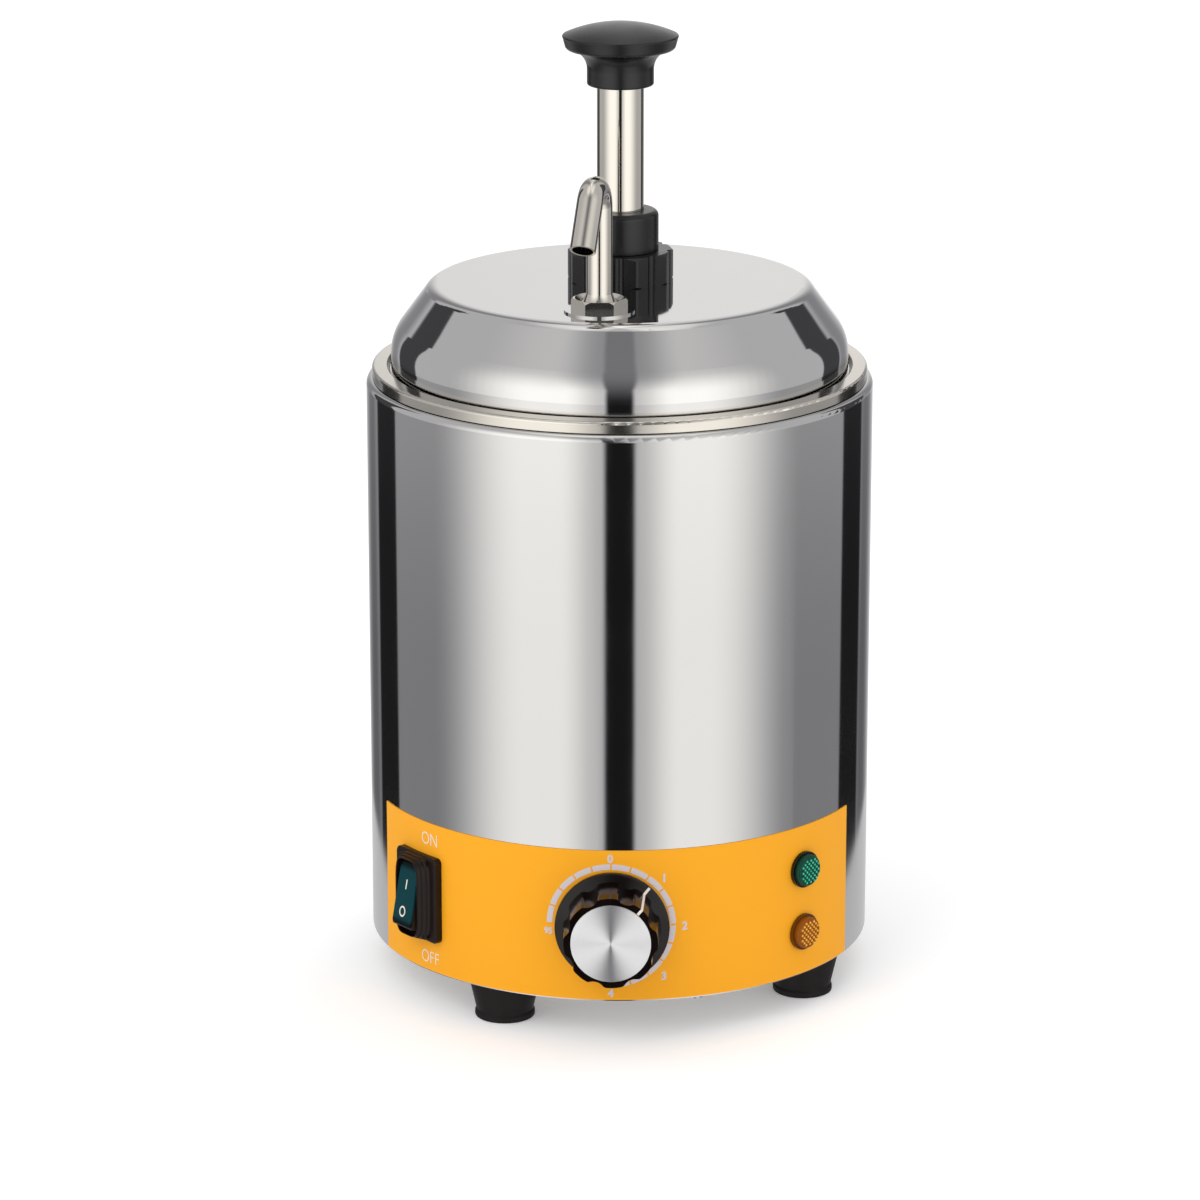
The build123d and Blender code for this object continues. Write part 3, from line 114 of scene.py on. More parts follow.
class WarmerFinish(bpy.types.PropertyGroup):
    """Colours of the warmer's surfaces."""

    steel: colour("Steel", "Polished stainless sheet", "#D0CFCE")
    satin: colour("Satin steel", "Stainless that the drawing press left satin", "#C3C0BB")
    warm_steel: colour("Warm steel", "Brushed ring and machined fittings", "#D6D1C8")
    zinc: colour("Zinc", "Bright zinc plating on fasteners", "#B9BCC0")
    aluminium: colour("Aluminium", "Spun aluminium dial cap", "#FAFAFC")
    panel: colour("Panel", "Orange printed film", "#FFAF20")
    ink: colour("Ink", "White screen-printed ink", "#F2E8DC")
    scale_ink: colour("Scale ink", "Greyed white ink of the dial scale", "#DCD2D6")
    moulded: colour("Moulded black", "Moulded black plastic", "#100F11")
    switch: colour("Switch black", "Moulded black nylon of the switch", "#190F0B")
    phenolic: colour("Knob", "Glossy moulded dial knob", "#0D0604")
    rubber: colour("Rubber", "Black rubber feet and seals", "#110D0D")
    teal: colour("Teal lens", "Rocker's tinted window", "#05343A")
    green: colour("Green lens", "Upper pilot lamp", "#0A7459")
    amber: colour("Amber lens", "Lower pilot lamp", "#D07E0C")


class WarmerMarks(bpy.types.PropertyGroup):
    """Sizes of the printed marks."""

    segment_inner: length("Segment inner radius", "Inner edge of the dial scale", 25.3)
    segment_outer: length("Segment outer radius", "Outer edge of the dial scale", 27.8)
    segment_gap: length("Segment gap", "Bare film between two segments", 0.75)
    segment_count: IntProperty(
        name="Segments", description="Segments on the dial scale", default=15, min=1
    )
    film: length("Ink thickness", "How far the ink stands off the film", 0.06)
    number_height: length("Number height", "Height of the dial's numbers", 3.9)
    word_height: length("Word height", "Height of ON and OFF", 5.5)
    sign_height: length("Sign height", "Height of the bar on the rocker", 4.2)
    pointer_width: length("Pointer width", "Width of the dial's white pointer", 1.15)


class WarmerStudio(bpy.types.PropertyGroup):
    """Camera, floor and light."""

    focal: FloatProperty(
        name="Focal length", description="Lens of the camera", default=151.87, unit="CAMERA"
    )
    floor: length("Floor size", "Side of the square floor", 12000.0)
    lamp_power: FloatProperty(
        name="Lamp power", description="Power of the key light", default=10.0, unit="POWER"
    )
    fill: FloatProperty(
        name="Fill", description="Strength of the even light from all round", default=0.95, min=0.0
    )


def finish():
    return bpy.context.scene.warmer_finish


def marks():
    return bpy.context.scene.warmer_marks


# ------------------------------------------------------------------ node and mesh helpers
def add(tree, kind, inputs=None, **settings):
    """Add one node. Settings set its properties; inputs set its sockets, or link them to
    another node's socket or to that node's first output."""
    node = tree.nodes.new(kind)
    for key, value in settings.items():
        setattr(node, key, value)
    for key, value in (inputs or {}).items():
        if isinstance(value, bpy.types.Node):
            value = value.outputs[0]
        if isinstance(value, bpy.types.NodeSocket):
            tree.links.new(value, node.inputs[key])
        else:
            node.inputs[key].default_value = value
    return node


def material(name):
    """A new material with an empty tree, and that tree."""
    made = bpy.data.materials.new(name)
    made.use_nodes = True
    made.node_tree.nodes.clear()
    return made, made.node_tree


def measured_from(tree, centre=(0.0, 0.0, 0.0)):
    """Object coordinates measured from a centre on the piece."""
    place = add(tree, "ShaderNodeTexCoord").outputs["Object"]
    return add(tree, "ShaderNodeMapping", {"Vector": place, "Location": [-part for part in centre]})


def round_axis(tree, centre, across, along, stretch):
    """Coordinates for tool lines round an axis: fine in radius and height, long round it."""
    split = add(tree, "ShaderNodeSeparateXYZ", {0: measured_from(tree, centre)}).outputs
    flat = add(tree, "ShaderNodeCombineXYZ", {0: split[across[0]], 1: split[across[1]]})
    radius = add(tree, "ShaderNodeVectorMath", {0: flat}, operation="LENGTH")
    angle = add(
        tree, "ShaderNodeMath", {0: split[across[0]], 1: split[across[1]]}, operation="ARCTAN2"
    )
    short = add(tree, "ShaderNodeMath", {0: angle, 1: stretch}, operation="MULTIPLY")
    return add(
        tree, "ShaderNodeCombineXYZ", {0: radius.outputs["Value"], 1: split[along], 2: short}
    )


def scaled(rgba, factor):
    return (*[min(1.0, part * factor) for part in rgba[:3]], 1.0)


# ------------------------------------------------------------------ materials
def mottled(tree, tone_by, tones, rough_by, rough, inputs):
    """Close a material. Its colour and its roughness each wander between two values, along
    the middle of a noise, and the other inputs go straight to the shader."""
    tone = add(
        tree, "ShaderNodeMix", {"Factor": tone_by, 6: tones[0], 7: tones[1]}, data_type="RGBA"
    )
    spread = add(
        tree,
        "ShaderNodeMapRange",
        {
            "Value": rough_by,
            "From Min": 0.3,
            "From Max": 0.7,
            "To Min": rough[0],
            "To Max": rough[1],
        },
    )
    skin = add(
        tree,
        "ShaderNodeBsdfPrincipled",
        {"Base Color": tone.outputs[2], "Roughness": spread, **inputs},
    )
    add(tree, "ShaderNodeOutputMaterial", {"Surface": skin})


def polished_stainless(name, base, roughness, ripple):
    """Stainless 304 sheet, cold rolled and belt polished to a mirror: it takes its tones
    from the room, softened a little by the last polishing pass and by the sheet's ripple."""
    made, tree = material(name)
    point = measured_from(tree)
    lines = round_axis(tree, (0, 0, 0), "XY", "Z", 0.004)
    sheet = add(tree, "ShaderNodeTexNoise", {"Vector": point, "Scale": per_mm(60), "Detail": 1.0})
    haze = add(tree, "ShaderNodeTexNoise", {"Vector": lines, "Scale": per_mm(0.9)})
    smear = add(tree, "ShaderNodeTexNoise", {"Vector": point, "Scale": per_mm(38), "Detail": 3.0})
    wave = add(tree, "ShaderNodeBump", {"Height": sheet, "Distance": ripple * MM, "Strength": 1.0})
    grain = add(
        tree,
        "ShaderNodeBump",
        {"Height": haze, "Distance": 0.0015 * MM, "Strength": 0.3, "Normal": wave},
    )
    tones = scaled(base, 0.97), base
    rough = roughness, roughness + 0.025
    mottled(tree, smear, tones, smear, rough, {"Metallic": 1.0, "Normal": grain})
    return made


def brushed_stainless(name, base, centre, roughness, dark, relief_mm):
    """Stainless turned and brushed round its axis with a fine belt: close circular lines
    spread the light across them. Real lines are 0.05 mm apart and are drawn at 0.35 mm."""
    made, tree = material(name)
    lines = round_axis(tree, (*centre, 0.0), "XY", "Z", 0.0015)
    fine = add(
        tree,
        "ShaderNodeTexNoise",
        {"Vector": lines, "Scale": per_mm(0.35), "Detail": 3.0, "Roughness": 0.6},
    )
    patches = add(tree, "ShaderNodeTexNoise", {"Vector": measured_from(tree), "Scale": per_mm(14)})
    relief = add(
        tree, "ShaderNodeBump", {"Height": fine, "Distance": relief_mm * MM, "Strength": 0.5}
    )
    tones = scaled(base, dark), base
    rough = roughness - 0.02, roughness + 0.03
    mottled(tree, fine, tones, patches, rough, {"Metallic": 1.0, "Normal": relief})
    return made


def drawn_stainless(base):
    """Stainless deep drawn in a press and left satin: soft grey sheen with a few rings from
    the blank holder and clouds where the lubricant was thicker."""
    made, tree = material("stainless_drawn_satin")
    lines = round_axis(tree, (0, 0, 0), "XY", "Z", 0.002)
    rings = add(tree, "ShaderNodeTexNoise", {"Vector": lines, "Scale": per_mm(1.6), "Detail": 3.0})
    cloud = add(
        tree,
        "ShaderNodeTexNoise",
        {"Vector": measured_from(tree), "Scale": per_mm(22), "Detail": 3.0},
    )
    relief = add(tree, "ShaderNodeBump", {"Height": rings, "Distance": 0.01 * MM, "Strength": 0.5})
    tones = scaled(base, 0.9), base
    mottled(tree, cloud, tones, cloud, (0.26, 0.34), {"Metallic": 1.0, "Normal": relief})
    return made


def zinc_plate(base):
    """Steel fasteners, zinc plated and blue passivated: bright grey with a faint blue and
    yellow cast that wanders over each head."""
    made, tree = material("zinc_plated_steel_passivated")
    cast = add(tree, "ShaderNodeTexNoise", {"Vector": measured_from(tree), "Scale": per_mm(3.5)})
    tones = linear("#A9B2C2"), scaled(base, 1.05)
    mottled(tree, cast, tones, cast, (0.22, 0.34), {"Metallic": 1.0})
    return made


def drawn_copper():
    """Drawn copper bulb and capillary, lightly tarnished: salmon metal with brown patches."""
    made, tree = material("copper_drawn_tarnished")
    tarnish = add(
        tree,
        "ShaderNodeTexNoise",
        {"Vector": measured_from(tree), "Scale": per_mm(5), "Detail": 4.0},
    )
    tones = linear("#9A5A3C"), linear("#D08B66")
    mottled(tree, tarnish, tones, tarnish, (0.24, 0.42), {"Metallic": 1.0})
    return made


def spun_aluminium(base):
    """Aluminium disc faced on a lathe: circular tool lines throw bright and dark wedges
    out from the centre. Lines are 0.05 mm apart and are drawn at 0.25 mm."""
    made, tree = material("aluminium_spun_lathe_faced")
    lines = round_axis(tree, (0.0, 0.0, CONTROL_LEVEL), "XZ", "Y", 0.0006)
    tool = add(tree, "ShaderNodeTexNoise", {"Vector": lines, "Scale": per_mm(0.25), "Detail": 2.0})
    tangent = add(tree, "ShaderNodeTangent", direction_type="UV_MAP", uv_map="lathe")
    turned = {"Metallic": 1.0, "Anisotropic": 1.0, "Tangent": tangent}
    mottled(tree, tool, (scaled(base, 0.92), base), tool, (0.36, 0.41), turned)
    return made


def printed_film(base):
    """Polyester film, screen printed orange on its face: even satin colour with the fine
    sparkle of a textured top coat. Grain is 0.05 mm and is drawn at 0.4 mm."""
    made, tree = material("polyester_film_screen_printed")
    point = measured_from(tree)
    grain = add(tree, "ShaderNodeTexNoise", {"Vector": point, "Scale": per_mm(0.4), "Detail": 1.0})
    cloud = add(tree, "ShaderNodeTexNoise", {"Vector": point, "Scale": per_mm(70)})
    relief = add(tree, "ShaderNodeBump", {"Height": grain, "Distance": 0.01 * MM, "Strength": 0.25})
    satin = {"IOR": 1.57, "Specular IOR Level": 0.15, "Normal": relief}
    mottled(tree, cloud, (scaled(base, 0.97), base), grain, (0.42, 0.52), satin)
    return made


def screen_ink(name, base):
    """White screen-printing ink: a flat matt skin that keeps the faint mesh of the screen,
    with a little of the ground colour showing through."""
    made, tree = material(name)
    mesh = add(tree, "ShaderNodeTexNoise", {"Vector": measured_from(tree), "Scale": per_mm(0.5)})
    tone = add(
        tree, "ShaderNodeMix", {"Factor": mesh, 6: scaled(base, 0.92), 7: base}, data_type="RGBA"
    )
    relief = add(tree, "ShaderNodeBump", {"Height": mesh, "Distance": 0.01 * MM, "Strength": 0.2})
    skin = add(
        tree,
        "ShaderNodeBsdfPrincipled",
        {"Base Color": tone.outputs[2], "Roughness": 0.5, "IOR": 1.5, "Normal": relief},
    )
    add(tree, "ShaderNodeOutputMaterial", {"Surface": skin})
    return made


def moulded_plastic(name, base, roughness, grain_mm, relief_mm, ior, gloss):
    """Plastic moulded in a spark-eroded tool: an even fine grain that breaks up the light,
    and slightly glossier patches where hands have rubbed it."""
    made, tree = material(name)
    point = measured_from(tree)
    grain = add(
        tree, "ShaderNodeTexNoise", {"Vector": point, "Scale": per_mm(grain_mm), "Roughness": 0.6}
    )
    rubbed = add(tree, "ShaderNodeTexNoise", {"Vector": point, "Scale": per_mm(17)})
    relief = add(
        tree, "ShaderNodeBump", {"Height": grain, "Distance": relief_mm * MM, "Strength": 0.5}
    )
    tones = scaled(base, 0.82), scaled(base, 1.18)
    rough = roughness - 0.04, roughness + 0.05
    hard = {"IOR": ior, "Specular IOR Level": gloss, "Normal": relief}
    mottled(tree, rubbed, tones, rubbed, rough, hard)
    return made


def moulded_rubber(base):
    """Nitrile rubber compression moulded: matt black with a dry bloom and a pebbled skin."""
    made, tree = material("nitrile_rubber_moulded")
    point = measured_from(tree)
    pebbles = add(
        tree, "ShaderNodeTexNoise", {"Vector": point, "Scale": per_mm(0.8), "Detail": 3.0}
    )
    bloom = add(tree, "ShaderNodeTexNoise", {"Vector": point, "Scale": per_mm(9), "Detail": 3.0})
    relief = add(
        tree, "ShaderNodeBump", {"Height": pebbles, "Distance": 0.03 * MM, "Strength": 0.5}
    )
    dull = {"IOR": 1.52, "Specular IOR Level": 0.18, "Normal": relief}
    mottled(tree, bloom, (base, scaled(base, 2.2)), bloom, (0.5, 0.65), dull)
    return made


def prismatic_polycarbonate(name, deep, base, painted_glint):
    """Polycarbonate lens moulded with a field of small prisms, with light and shade painted into
    its colour: the deep colour between them is painted shade, they are saturated on their
    flanks, and each tip carries a painted glint, a painted highlight. The "prism" attribute is 0
    at a prism's foot and 1 at its tip."""
    made, tree = material(name)
    tip = add(tree, "ShaderNodeAttribute", {}, attribute_name="prism").outputs["Fac"]
    uneven = add(tree, "ShaderNodeTexNoise", {"Vector": measured_from(tree), "Scale": per_mm(2.4)})
    # painted shade: each prism darkens from its flanks to the deep colour at its foot, between the
    # prisms
    flank = add(tree, "ShaderNodeMapRange", {"Value": tip, "From Min": 0.05, "From Max": 0.6})
    body = add(tree, "ShaderNodeMix", {"Factor": flank, 6: deep, 7: base}, data_type="RGBA")
    near_tip = add(
        tree,
        "ShaderNodeMapRange",
        {"Value": tip, "From Min": 0.55, "From Max": 0.95, "To Min": 0.0, "To Max": 1.5},
    )
    # painted glint: a bright colour, a painted highlight, is mixed onto each prism's tip and broken
    # up by noise
    painted_glint_mask = add(
        tree, "ShaderNodeMath", {0: near_tip, 1: uneven}, operation="MULTIPLY", use_clamp=True
    )
    lit = add(
        tree, "ShaderNodeMix", {"Factor": painted_glint_mask, 6: body.outputs[2], 7: painted_glint}, data_type="RGBA"
    )
    skin = add(
        tree,
        "ShaderNodeBsdfPrincipled",
        {"Base Color": lit.outputs[2], "Roughness": 0.12, "IOR": 1.58, "Specular IOR Level": 0.15},
    )
    add(tree, "ShaderNodeOutputMaterial", {"Surface": skin})
    return made


def tinted_window(name, base, deep, painted_highlight, middle, half_height):
    """Polycarbonate rocker window, moulded smooth and tinted through: a deep even colour
    that darkens towards both ends, under a soft gloss, and clouds of a lighter teal over it that
    are a painted highlight."""
    made, tree = material(name)
    point = measured_from(tree, (0.0, 0.0, middle))
    level = add(tree, "ShaderNodeSeparateXYZ", {0: point}).outputs["Z"]
    out = add(tree, "ShaderNodeMath", {0: level}, operation="ABSOLUTE")
    band = add(
        tree,
        "ShaderNodeMapRange",
        {
            "Value": out,
            "From Min": half_height * 0.72,
            "From Max": half_height * 0.92,
            "To Min": 0.0,
            "To Max": 1.0,
        },
        interpolation_type="SMOOTHSTEP",
    )
    # painted highlight: clouds of a lighter teal mixed into the tint
    cloud = add(tree, "ShaderNodeTexNoise", {"Vector": point, "Scale": per_mm(11)})
    ground = add(tree, "ShaderNodeMix", {"Factor": cloud, 6: base, 7: painted_highlight}, data_type="RGBA")
    tone = add(
        tree, "ShaderNodeMix", {"Factor": band, 6: ground.outputs[2], 7: deep}, data_type="RGBA"
    )
    skin = add(
        tree,
        "ShaderNodeBsdfPrincipled",
        {"Base Color": tone.outputs[2], "Roughness": 0.2, "IOR": 1.58, "Specular IOR Level": 0.05},
    )
    add(tree, "ShaderNodeOutputMaterial", {"Surface": skin})
    return made


def lamp_housing(green, amber, level):
    """Polycarbonate bezels tinted like their lenses, so dark in section that the upper one
    looks black and the lower one brown."""
    made, tree = material("polycarbonate_bezel_moulded")
    point = measured_from(tree)
    height = add(tree, "ShaderNodeSeparateXYZ", {0: point}).outputs["Z"]
    upper = add(tree, "ShaderNodeMath", {0: height, 1: level}, operation="GREATER_THAN")
    wear = add(tree, "ShaderNodeTexNoise", {"Vector": point, "Scale": per_mm(2.5)})
    smooth = {"IOR": 1.58, "Specular IOR Level": 0.3}
    mottled(tree, upper, (amber, green), wear, (0.18, 0.3), smooth)
    return made


def dress(made, *nodes):
    """Give CAD nodes a material through their own slots."""
    for name in nodes:
        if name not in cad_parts:
            raise RuntimeError(f"no node named {name} to dress")
        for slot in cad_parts[name].material_slots:
            slot.material = made


# ------------------------------------------------------------------ mesh helpers
def piece(name, mesh, made, body):
    """A finished piece at the origin, riding on its body."""
    made_object = bpy.data.objects.new(name, mesh)
    bpy.context.scene.collection.objects.link(made_object)
    if made is not None:
        mesh.materials.clear()
        mesh.materials.append(made)
    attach(made_object, body)
    return made_object


def from_bmesh(name, shape, smooth=True):
    mesh = bpy.data.meshes.new(name)
    shape.to_mesh(mesh)
    shape.free()
    for face in mesh.polygons:
        face.use_smooth = smooth
    return mesh


def on_panel(u, v, stand_off):
    """Point on the panel: u round it to the right from the dial, v up from the dial."""
    azimuth = DIAL_AZIMUTH + u / PANEL_RADIUS
    reach = PANEL_RADIUS + stand_off
    return Vector((reach * cos(azimuth), reach * sin(azimuth), CONTROL_LEVEL + v))


def radial_frame(azimuth, level, reach):
    """Matrix whose X runs to the right, Y up and Z outward at a place on the housing."""
    outward = Vector((cos(azimuth), sin(azimuth), 0))
    right = Vector((-sin(azimuth), cos(azimuth), 0))
    place = outward * reach
    return Matrix(
        (
            (right.x, 0, outward.x, place.x),
            (right.y, 0, outward.y, place.y),
            (right.z, 1, outward.z, level),
            (0, 0, 0, 1),
        )
    )


def lettering(text, height, width_scale, weight, thickness):
    """Flat letters as a bmesh centred on the origin in XY, standing up by thickness."""
    curve = bpy.data.curves.new("letters", "FONT")
    curve.body = text
    curve.align_x = "CENTER"
    curve.size = 1.0
    curve.offset = weight
    curve.extrude = 0.5
    curve.resolution_u = 6
    holder = bpy.data.objects.new("letters", curve)
    bpy.context.scene.collection.objects.link(holder)
    bpy.context.view_layer.update()
    mesh = bpy.data.meshes.new_from_object(
        holder.evaluated_get(bpy.context.evaluated_depsgraph_get())
    )
    bpy.data.objects.remove(holder)
    bpy.data.curves.remove(curve)
    shape = bmesh.new()
    shape.from_mesh(mesh)
    bpy.data.meshes.remove(mesh)
    bmesh.ops.remove_doubles(shape, verts=shape.verts, dist=1e-5)
    xs = [v.co.x for v in shape.verts]
    ys = [v.co.y for v in shape.verts]
    size = height / (max(ys) - min(ys))
    middle = Vector(((max(xs) + min(xs)) / 2, (max(ys) + min(ys)) / 2, 0))
    for vertex in shape.verts:
        vertex.co = vertex.co - middle
        vertex.co.x *= size * width_scale
        vertex.co.y *= size
        vertex.co.z = (vertex.co.z + 0.5) * thickness
    bmesh.ops.recalc_face_normals(shape, faces=shape.faces)
    return shape


def outside_out(mesh):
    """Turn a closed mesh's faces outwards."""
    shape = bmesh.new()
    shape.from_mesh(mesh)
    bmesh.ops.recalc_face_normals(shape, faces=shape.faces)
    shape.to_mesh(mesh)
    shape.free()
    for face in mesh.polygons:
        face.use_smooth = True


def merged(shapes):
    """Several bmeshes as one."""
    whole = bmesh.new()
    for shape in shapes:
        mesh = bpy.data.meshes.new("part")
        shape.to_mesh(mesh)
        shape.free()
        whole.from_mesh(mesh)
        bpy.data.meshes.remove(mesh)
    return whole


# ------------------------------------------------------------------ geometry node helpers
def new_tree(name, *labels, whole=()):
    """A geometry node tree with an input for each label, and those inputs. The labels in
    whole take whole numbers, the others take any number."""
    tree = bpy.data.node_groups.new(name, "GeometryNodeTree")
    tree.interface.new_socket("Geometry", in_out="OUTPUT", socket_type="NodeSocketGeometry")
    for label in labels:
        kind = "NodeSocketInt" if label in whole else "NodeSocketFloat"
        tree.interface.new_socket(label, in_out="INPUT", socket_type=kind)
    return tree, add(tree, "NodeGroupInput").outputs


def position_parts(tree):
    """The X, Y and Z of each point of a mesh."""
    return add(tree, "ShaderNodeSeparateXYZ", {0: add(tree, "GeometryNodeInputPosition")}).outputs


def end_tree(tree, geometry, made):
    """Close a tree with Realize Instances and Set Material."""
    whole = add(tree, "GeometryNodeRealizeInstances", {0: geometry})
    painted = add(tree, "GeometryNodeSetMaterial", {"Geometry": whole, "Material": made})
    add(tree, "NodeGroupOutput", {0: painted})
    return tree


def grown(name, tree, values):
    """The plain mesh that a geometry node tree makes with these input values."""
    holder = bpy.data.objects.new(name, bpy.data.meshes.new(name))
    bpy.context.scene.collection.objects.link(holder)
    modifier = holder.modifiers.new("grow", "NODES")
    modifier.node_group = tree
    sockets = {
        item.name: item.identifier
        for item in tree.interface.items_tree
        if item.item_type == "SOCKET" and item.in_out == "INPUT"
    }
    for label, value in values.items():
        modifier[sockets[label]] = value
    holder.update_tag()
    bpy.context.view_layer.update()
    mesh = bpy.data.meshes.new_from_object(
        holder.evaluated_get(bpy.context.evaluated_depsgraph_get())
    )
    mesh.name = name
    holder.modifiers.remove(modifier)
    bpy.data.objects.remove(holder)
    return mesh


def scale_tree(made):
    """Ring segments printed round a dial, wrapped onto the housing's cylinder."""
    tree, given = new_tree(
        "dial_scale_segments", "Count", "Start", "Pitch", "Gap", "Inner", "Outer", "Shift",
        "Cylinder", "Level", "Stand off", "Thickness", whole=("Count",),
    )
    cell = add(
        tree,
        "GeometryNodeMeshGrid",
        {"Size X": 1.0, "Size Y": 1.0, "Vertices X": 11, "Vertices Y": 4},
    )
    row = add(tree, "GeometryNodeMeshLine", {"Count": given["Count"], "Offset": (0, 0, 0)})
    copies = add(tree, "GeometryNodeInstanceOnPoints", {"Points": row, "Instance": cell})
    numbered = add(
        tree,
        "GeometryNodeStoreNamedAttribute",
        {"Geometry": copies, "Name": "segment", "Value": add(tree, "GeometryNodeInputIndex")},
        data_type="FLOAT",
        domain="INSTANCE",
    )
    loose = add(tree, "GeometryNodeRealizeInstances", {0: numbered})
    segment = add(tree, "GeometryNodeInputNamedAttribute", {"Name": "segment"}, data_type="FLOAT")
    here = position_parts(tree)
    radius = add(
        tree,
        "ShaderNodeMapRange",
        {
            "Value": here["Y"],
            "From Min": -0.5,
            "From Max": 0.5,
            "To Min": given["Inner"],
            "To Max": given["Outer"],
        },
    )
    bare = add(tree, "ShaderNodeMath", {0: given["Gap"], 1: radius}, operation="DIVIDE")
    inked = add(tree, "ShaderNodeMath", {0: given["Pitch"], 1: bare}, operation="SUBTRACT")
    middle = add(
        tree,
        "ShaderNodeMath",
        {0: segment, 1: given["Pitch"], 2: given["Start"]},
        operation="MULTIPLY_ADD",
    )
    turn = add(
        tree, "ShaderNodeMath", {0: here["X"], 1: inked, 2: middle}, operation="MULTIPLY_ADD"
    )
    sine = add(tree, "ShaderNodeMath", {0: turn}, operation="SINE")
    cosine = add(tree, "ShaderNodeMath", {0: turn}, operation="COSINE")
    side = add(
        tree, "ShaderNodeMath", {0: radius, 1: sine, 2: given["Shift"]}, operation="MULTIPLY_ADD"
    )
    level = add(
        tree, "ShaderNodeMath", {0: radius, 1: cosine, 2: given["Level"]}, operation="MULTIPLY_ADD"
    )
    wrap = add(tree, "ShaderNodeMath", {0: side, 1: given["Cylinder"]}, operation="DIVIDE")
    reach = add(
        tree, "ShaderNodeMath", {0: given["Cylinder"], 1: given["Stand off"]}, operation="ADD"
    )
    outward = add(
        tree,
        "ShaderNodeCombineXYZ",
        {
            0: add(tree, "ShaderNodeMath", {0: wrap}, operation="SINE"),
            1: add(
                tree,
                "ShaderNodeMath",
                {0: add(tree, "ShaderNodeMath", {0: wrap}, operation="COSINE"), 1: -1.0},
                operation="MULTIPLY",
            ),
        },
    )
    flat = add(tree, "ShaderNodeVectorMath", {0: outward, "Scale": reach}, operation="SCALE")
    place = add(
        tree,
        "ShaderNodeVectorMath",
        {0: flat, 1: add(tree, "ShaderNodeCombineXYZ", {2: level})},
        operation="ADD",
    )
    laid = add(tree, "GeometryNodeSetPosition", {"Geometry": loose, "Position": place})
    # the flipped copy closes the back of the ink
    back = add(tree, "GeometryNodeFlipFaces", {0: laid})
    raised = add(
        tree,
        "GeometryNodeExtrudeMesh",
        {"Mesh": laid, "Offset Scale": given["Thickness"], "Individual": False},
    )
    both = add(tree, "GeometryNodeJoinGeometry", {0: raised})
    tree.links.new(back.outputs[0], both.inputs[0])
    sealed = add(tree, "GeometryNodeMergeByDistance", {"Geometry": both, "Distance": 1e-6})
    return end_tree(tree, sealed, made)


def spring_tree(made):
    """A round wire wound in an open coil that climbs along +Z."""
    tree, given = new_tree("return_spring", "Coil radius", "Wire radius", "Height", "Turns")
    coil = add(
        tree,
        "GeometryNodeCurveSpiral",
        {
            "Resolution": 40,
            "Rotations": given["Turns"],
            "Start Radius": given["Coil radius"],
            "End Radius": given["Coil radius"],
            "Height": given["Height"],
        },
    )
    wire = add(
        tree,
        "GeometryNodeCurvePrimitiveCircle",
        {"Resolution": 10, "Radius": given["Wire radius"]},
        mode="RADIUS",
    )
    wound = add(
        tree, "GeometryNodeCurveToMesh", {"Curve": coil, "Profile Curve": wire, "Fill Caps": True}
    )
    return end_tree(tree, wound, made)


def prism_tree(made):
    """A round field of blunt six-sided pyramids on a square grid, in the XY plane, with a
    "prism" attribute that runs from 0 at the foot of each to 1 at its tip."""
    tree, given = new_tree("lens_prisms", "Pitch", "Field", "Height")
    across = add(tree, "ShaderNodeMath", {0: given["Pitch"], 1: 10.0}, operation="MULTIPLY")
    lattice = add(
        tree,
        "GeometryNodeMeshGrid",
        {"Size X": across, "Size Y": across, "Vertices X": 11, "Vertices Y": 11},
    )
    turned = add(tree, "GeometryNodeTransform", {"Geometry": lattice, "Rotation": (0, 0, pi / 4)})
    reach = add(
        tree,
        "ShaderNodeVectorMath",
        {0: add(tree, "GeometryNodeInputPosition")},
        operation="LENGTH",
    )
    inside = add(
        tree,
        "FunctionNodeCompare",
        {0: reach.outputs["Value"], 1: given["Field"]},
        data_type="FLOAT",
        operation="LESS_THAN",
    )
    foot = add(tree, "ShaderNodeMath", {0: given["Pitch"], 1: 0.58}, operation="MULTIPLY")
    blunt = add(tree, "ShaderNodeMath", {0: given["Pitch"], 1: 0.2}, operation="MULTIPLY")
    pyramid = add(
        tree,
        "GeometryNodeMeshCone",
        {
            "Vertices": 6,
            "Side Segments": 3,
            "Radius Top": blunt,
            "Radius Bottom": foot,
            "Depth": given["Height"],
        },
    )
    level = position_parts(tree)["Z"]
    share = add(tree, "ShaderNodeMath", {0: level, 1: given["Height"]}, operation="DIVIDE")
    marked = add(
        tree,
        "GeometryNodeStoreNamedAttribute",
        {"Geometry": pyramid, "Name": "prism", "Value": share},
        data_type="FLOAT",
        domain="POINT",
    )
    field = add(
        tree,
        "GeometryNodeInstanceOnPoints",
        {"Points": turned, "Selection": inside, "Instance": marked},
    )
    return end_tree(tree, field, made)


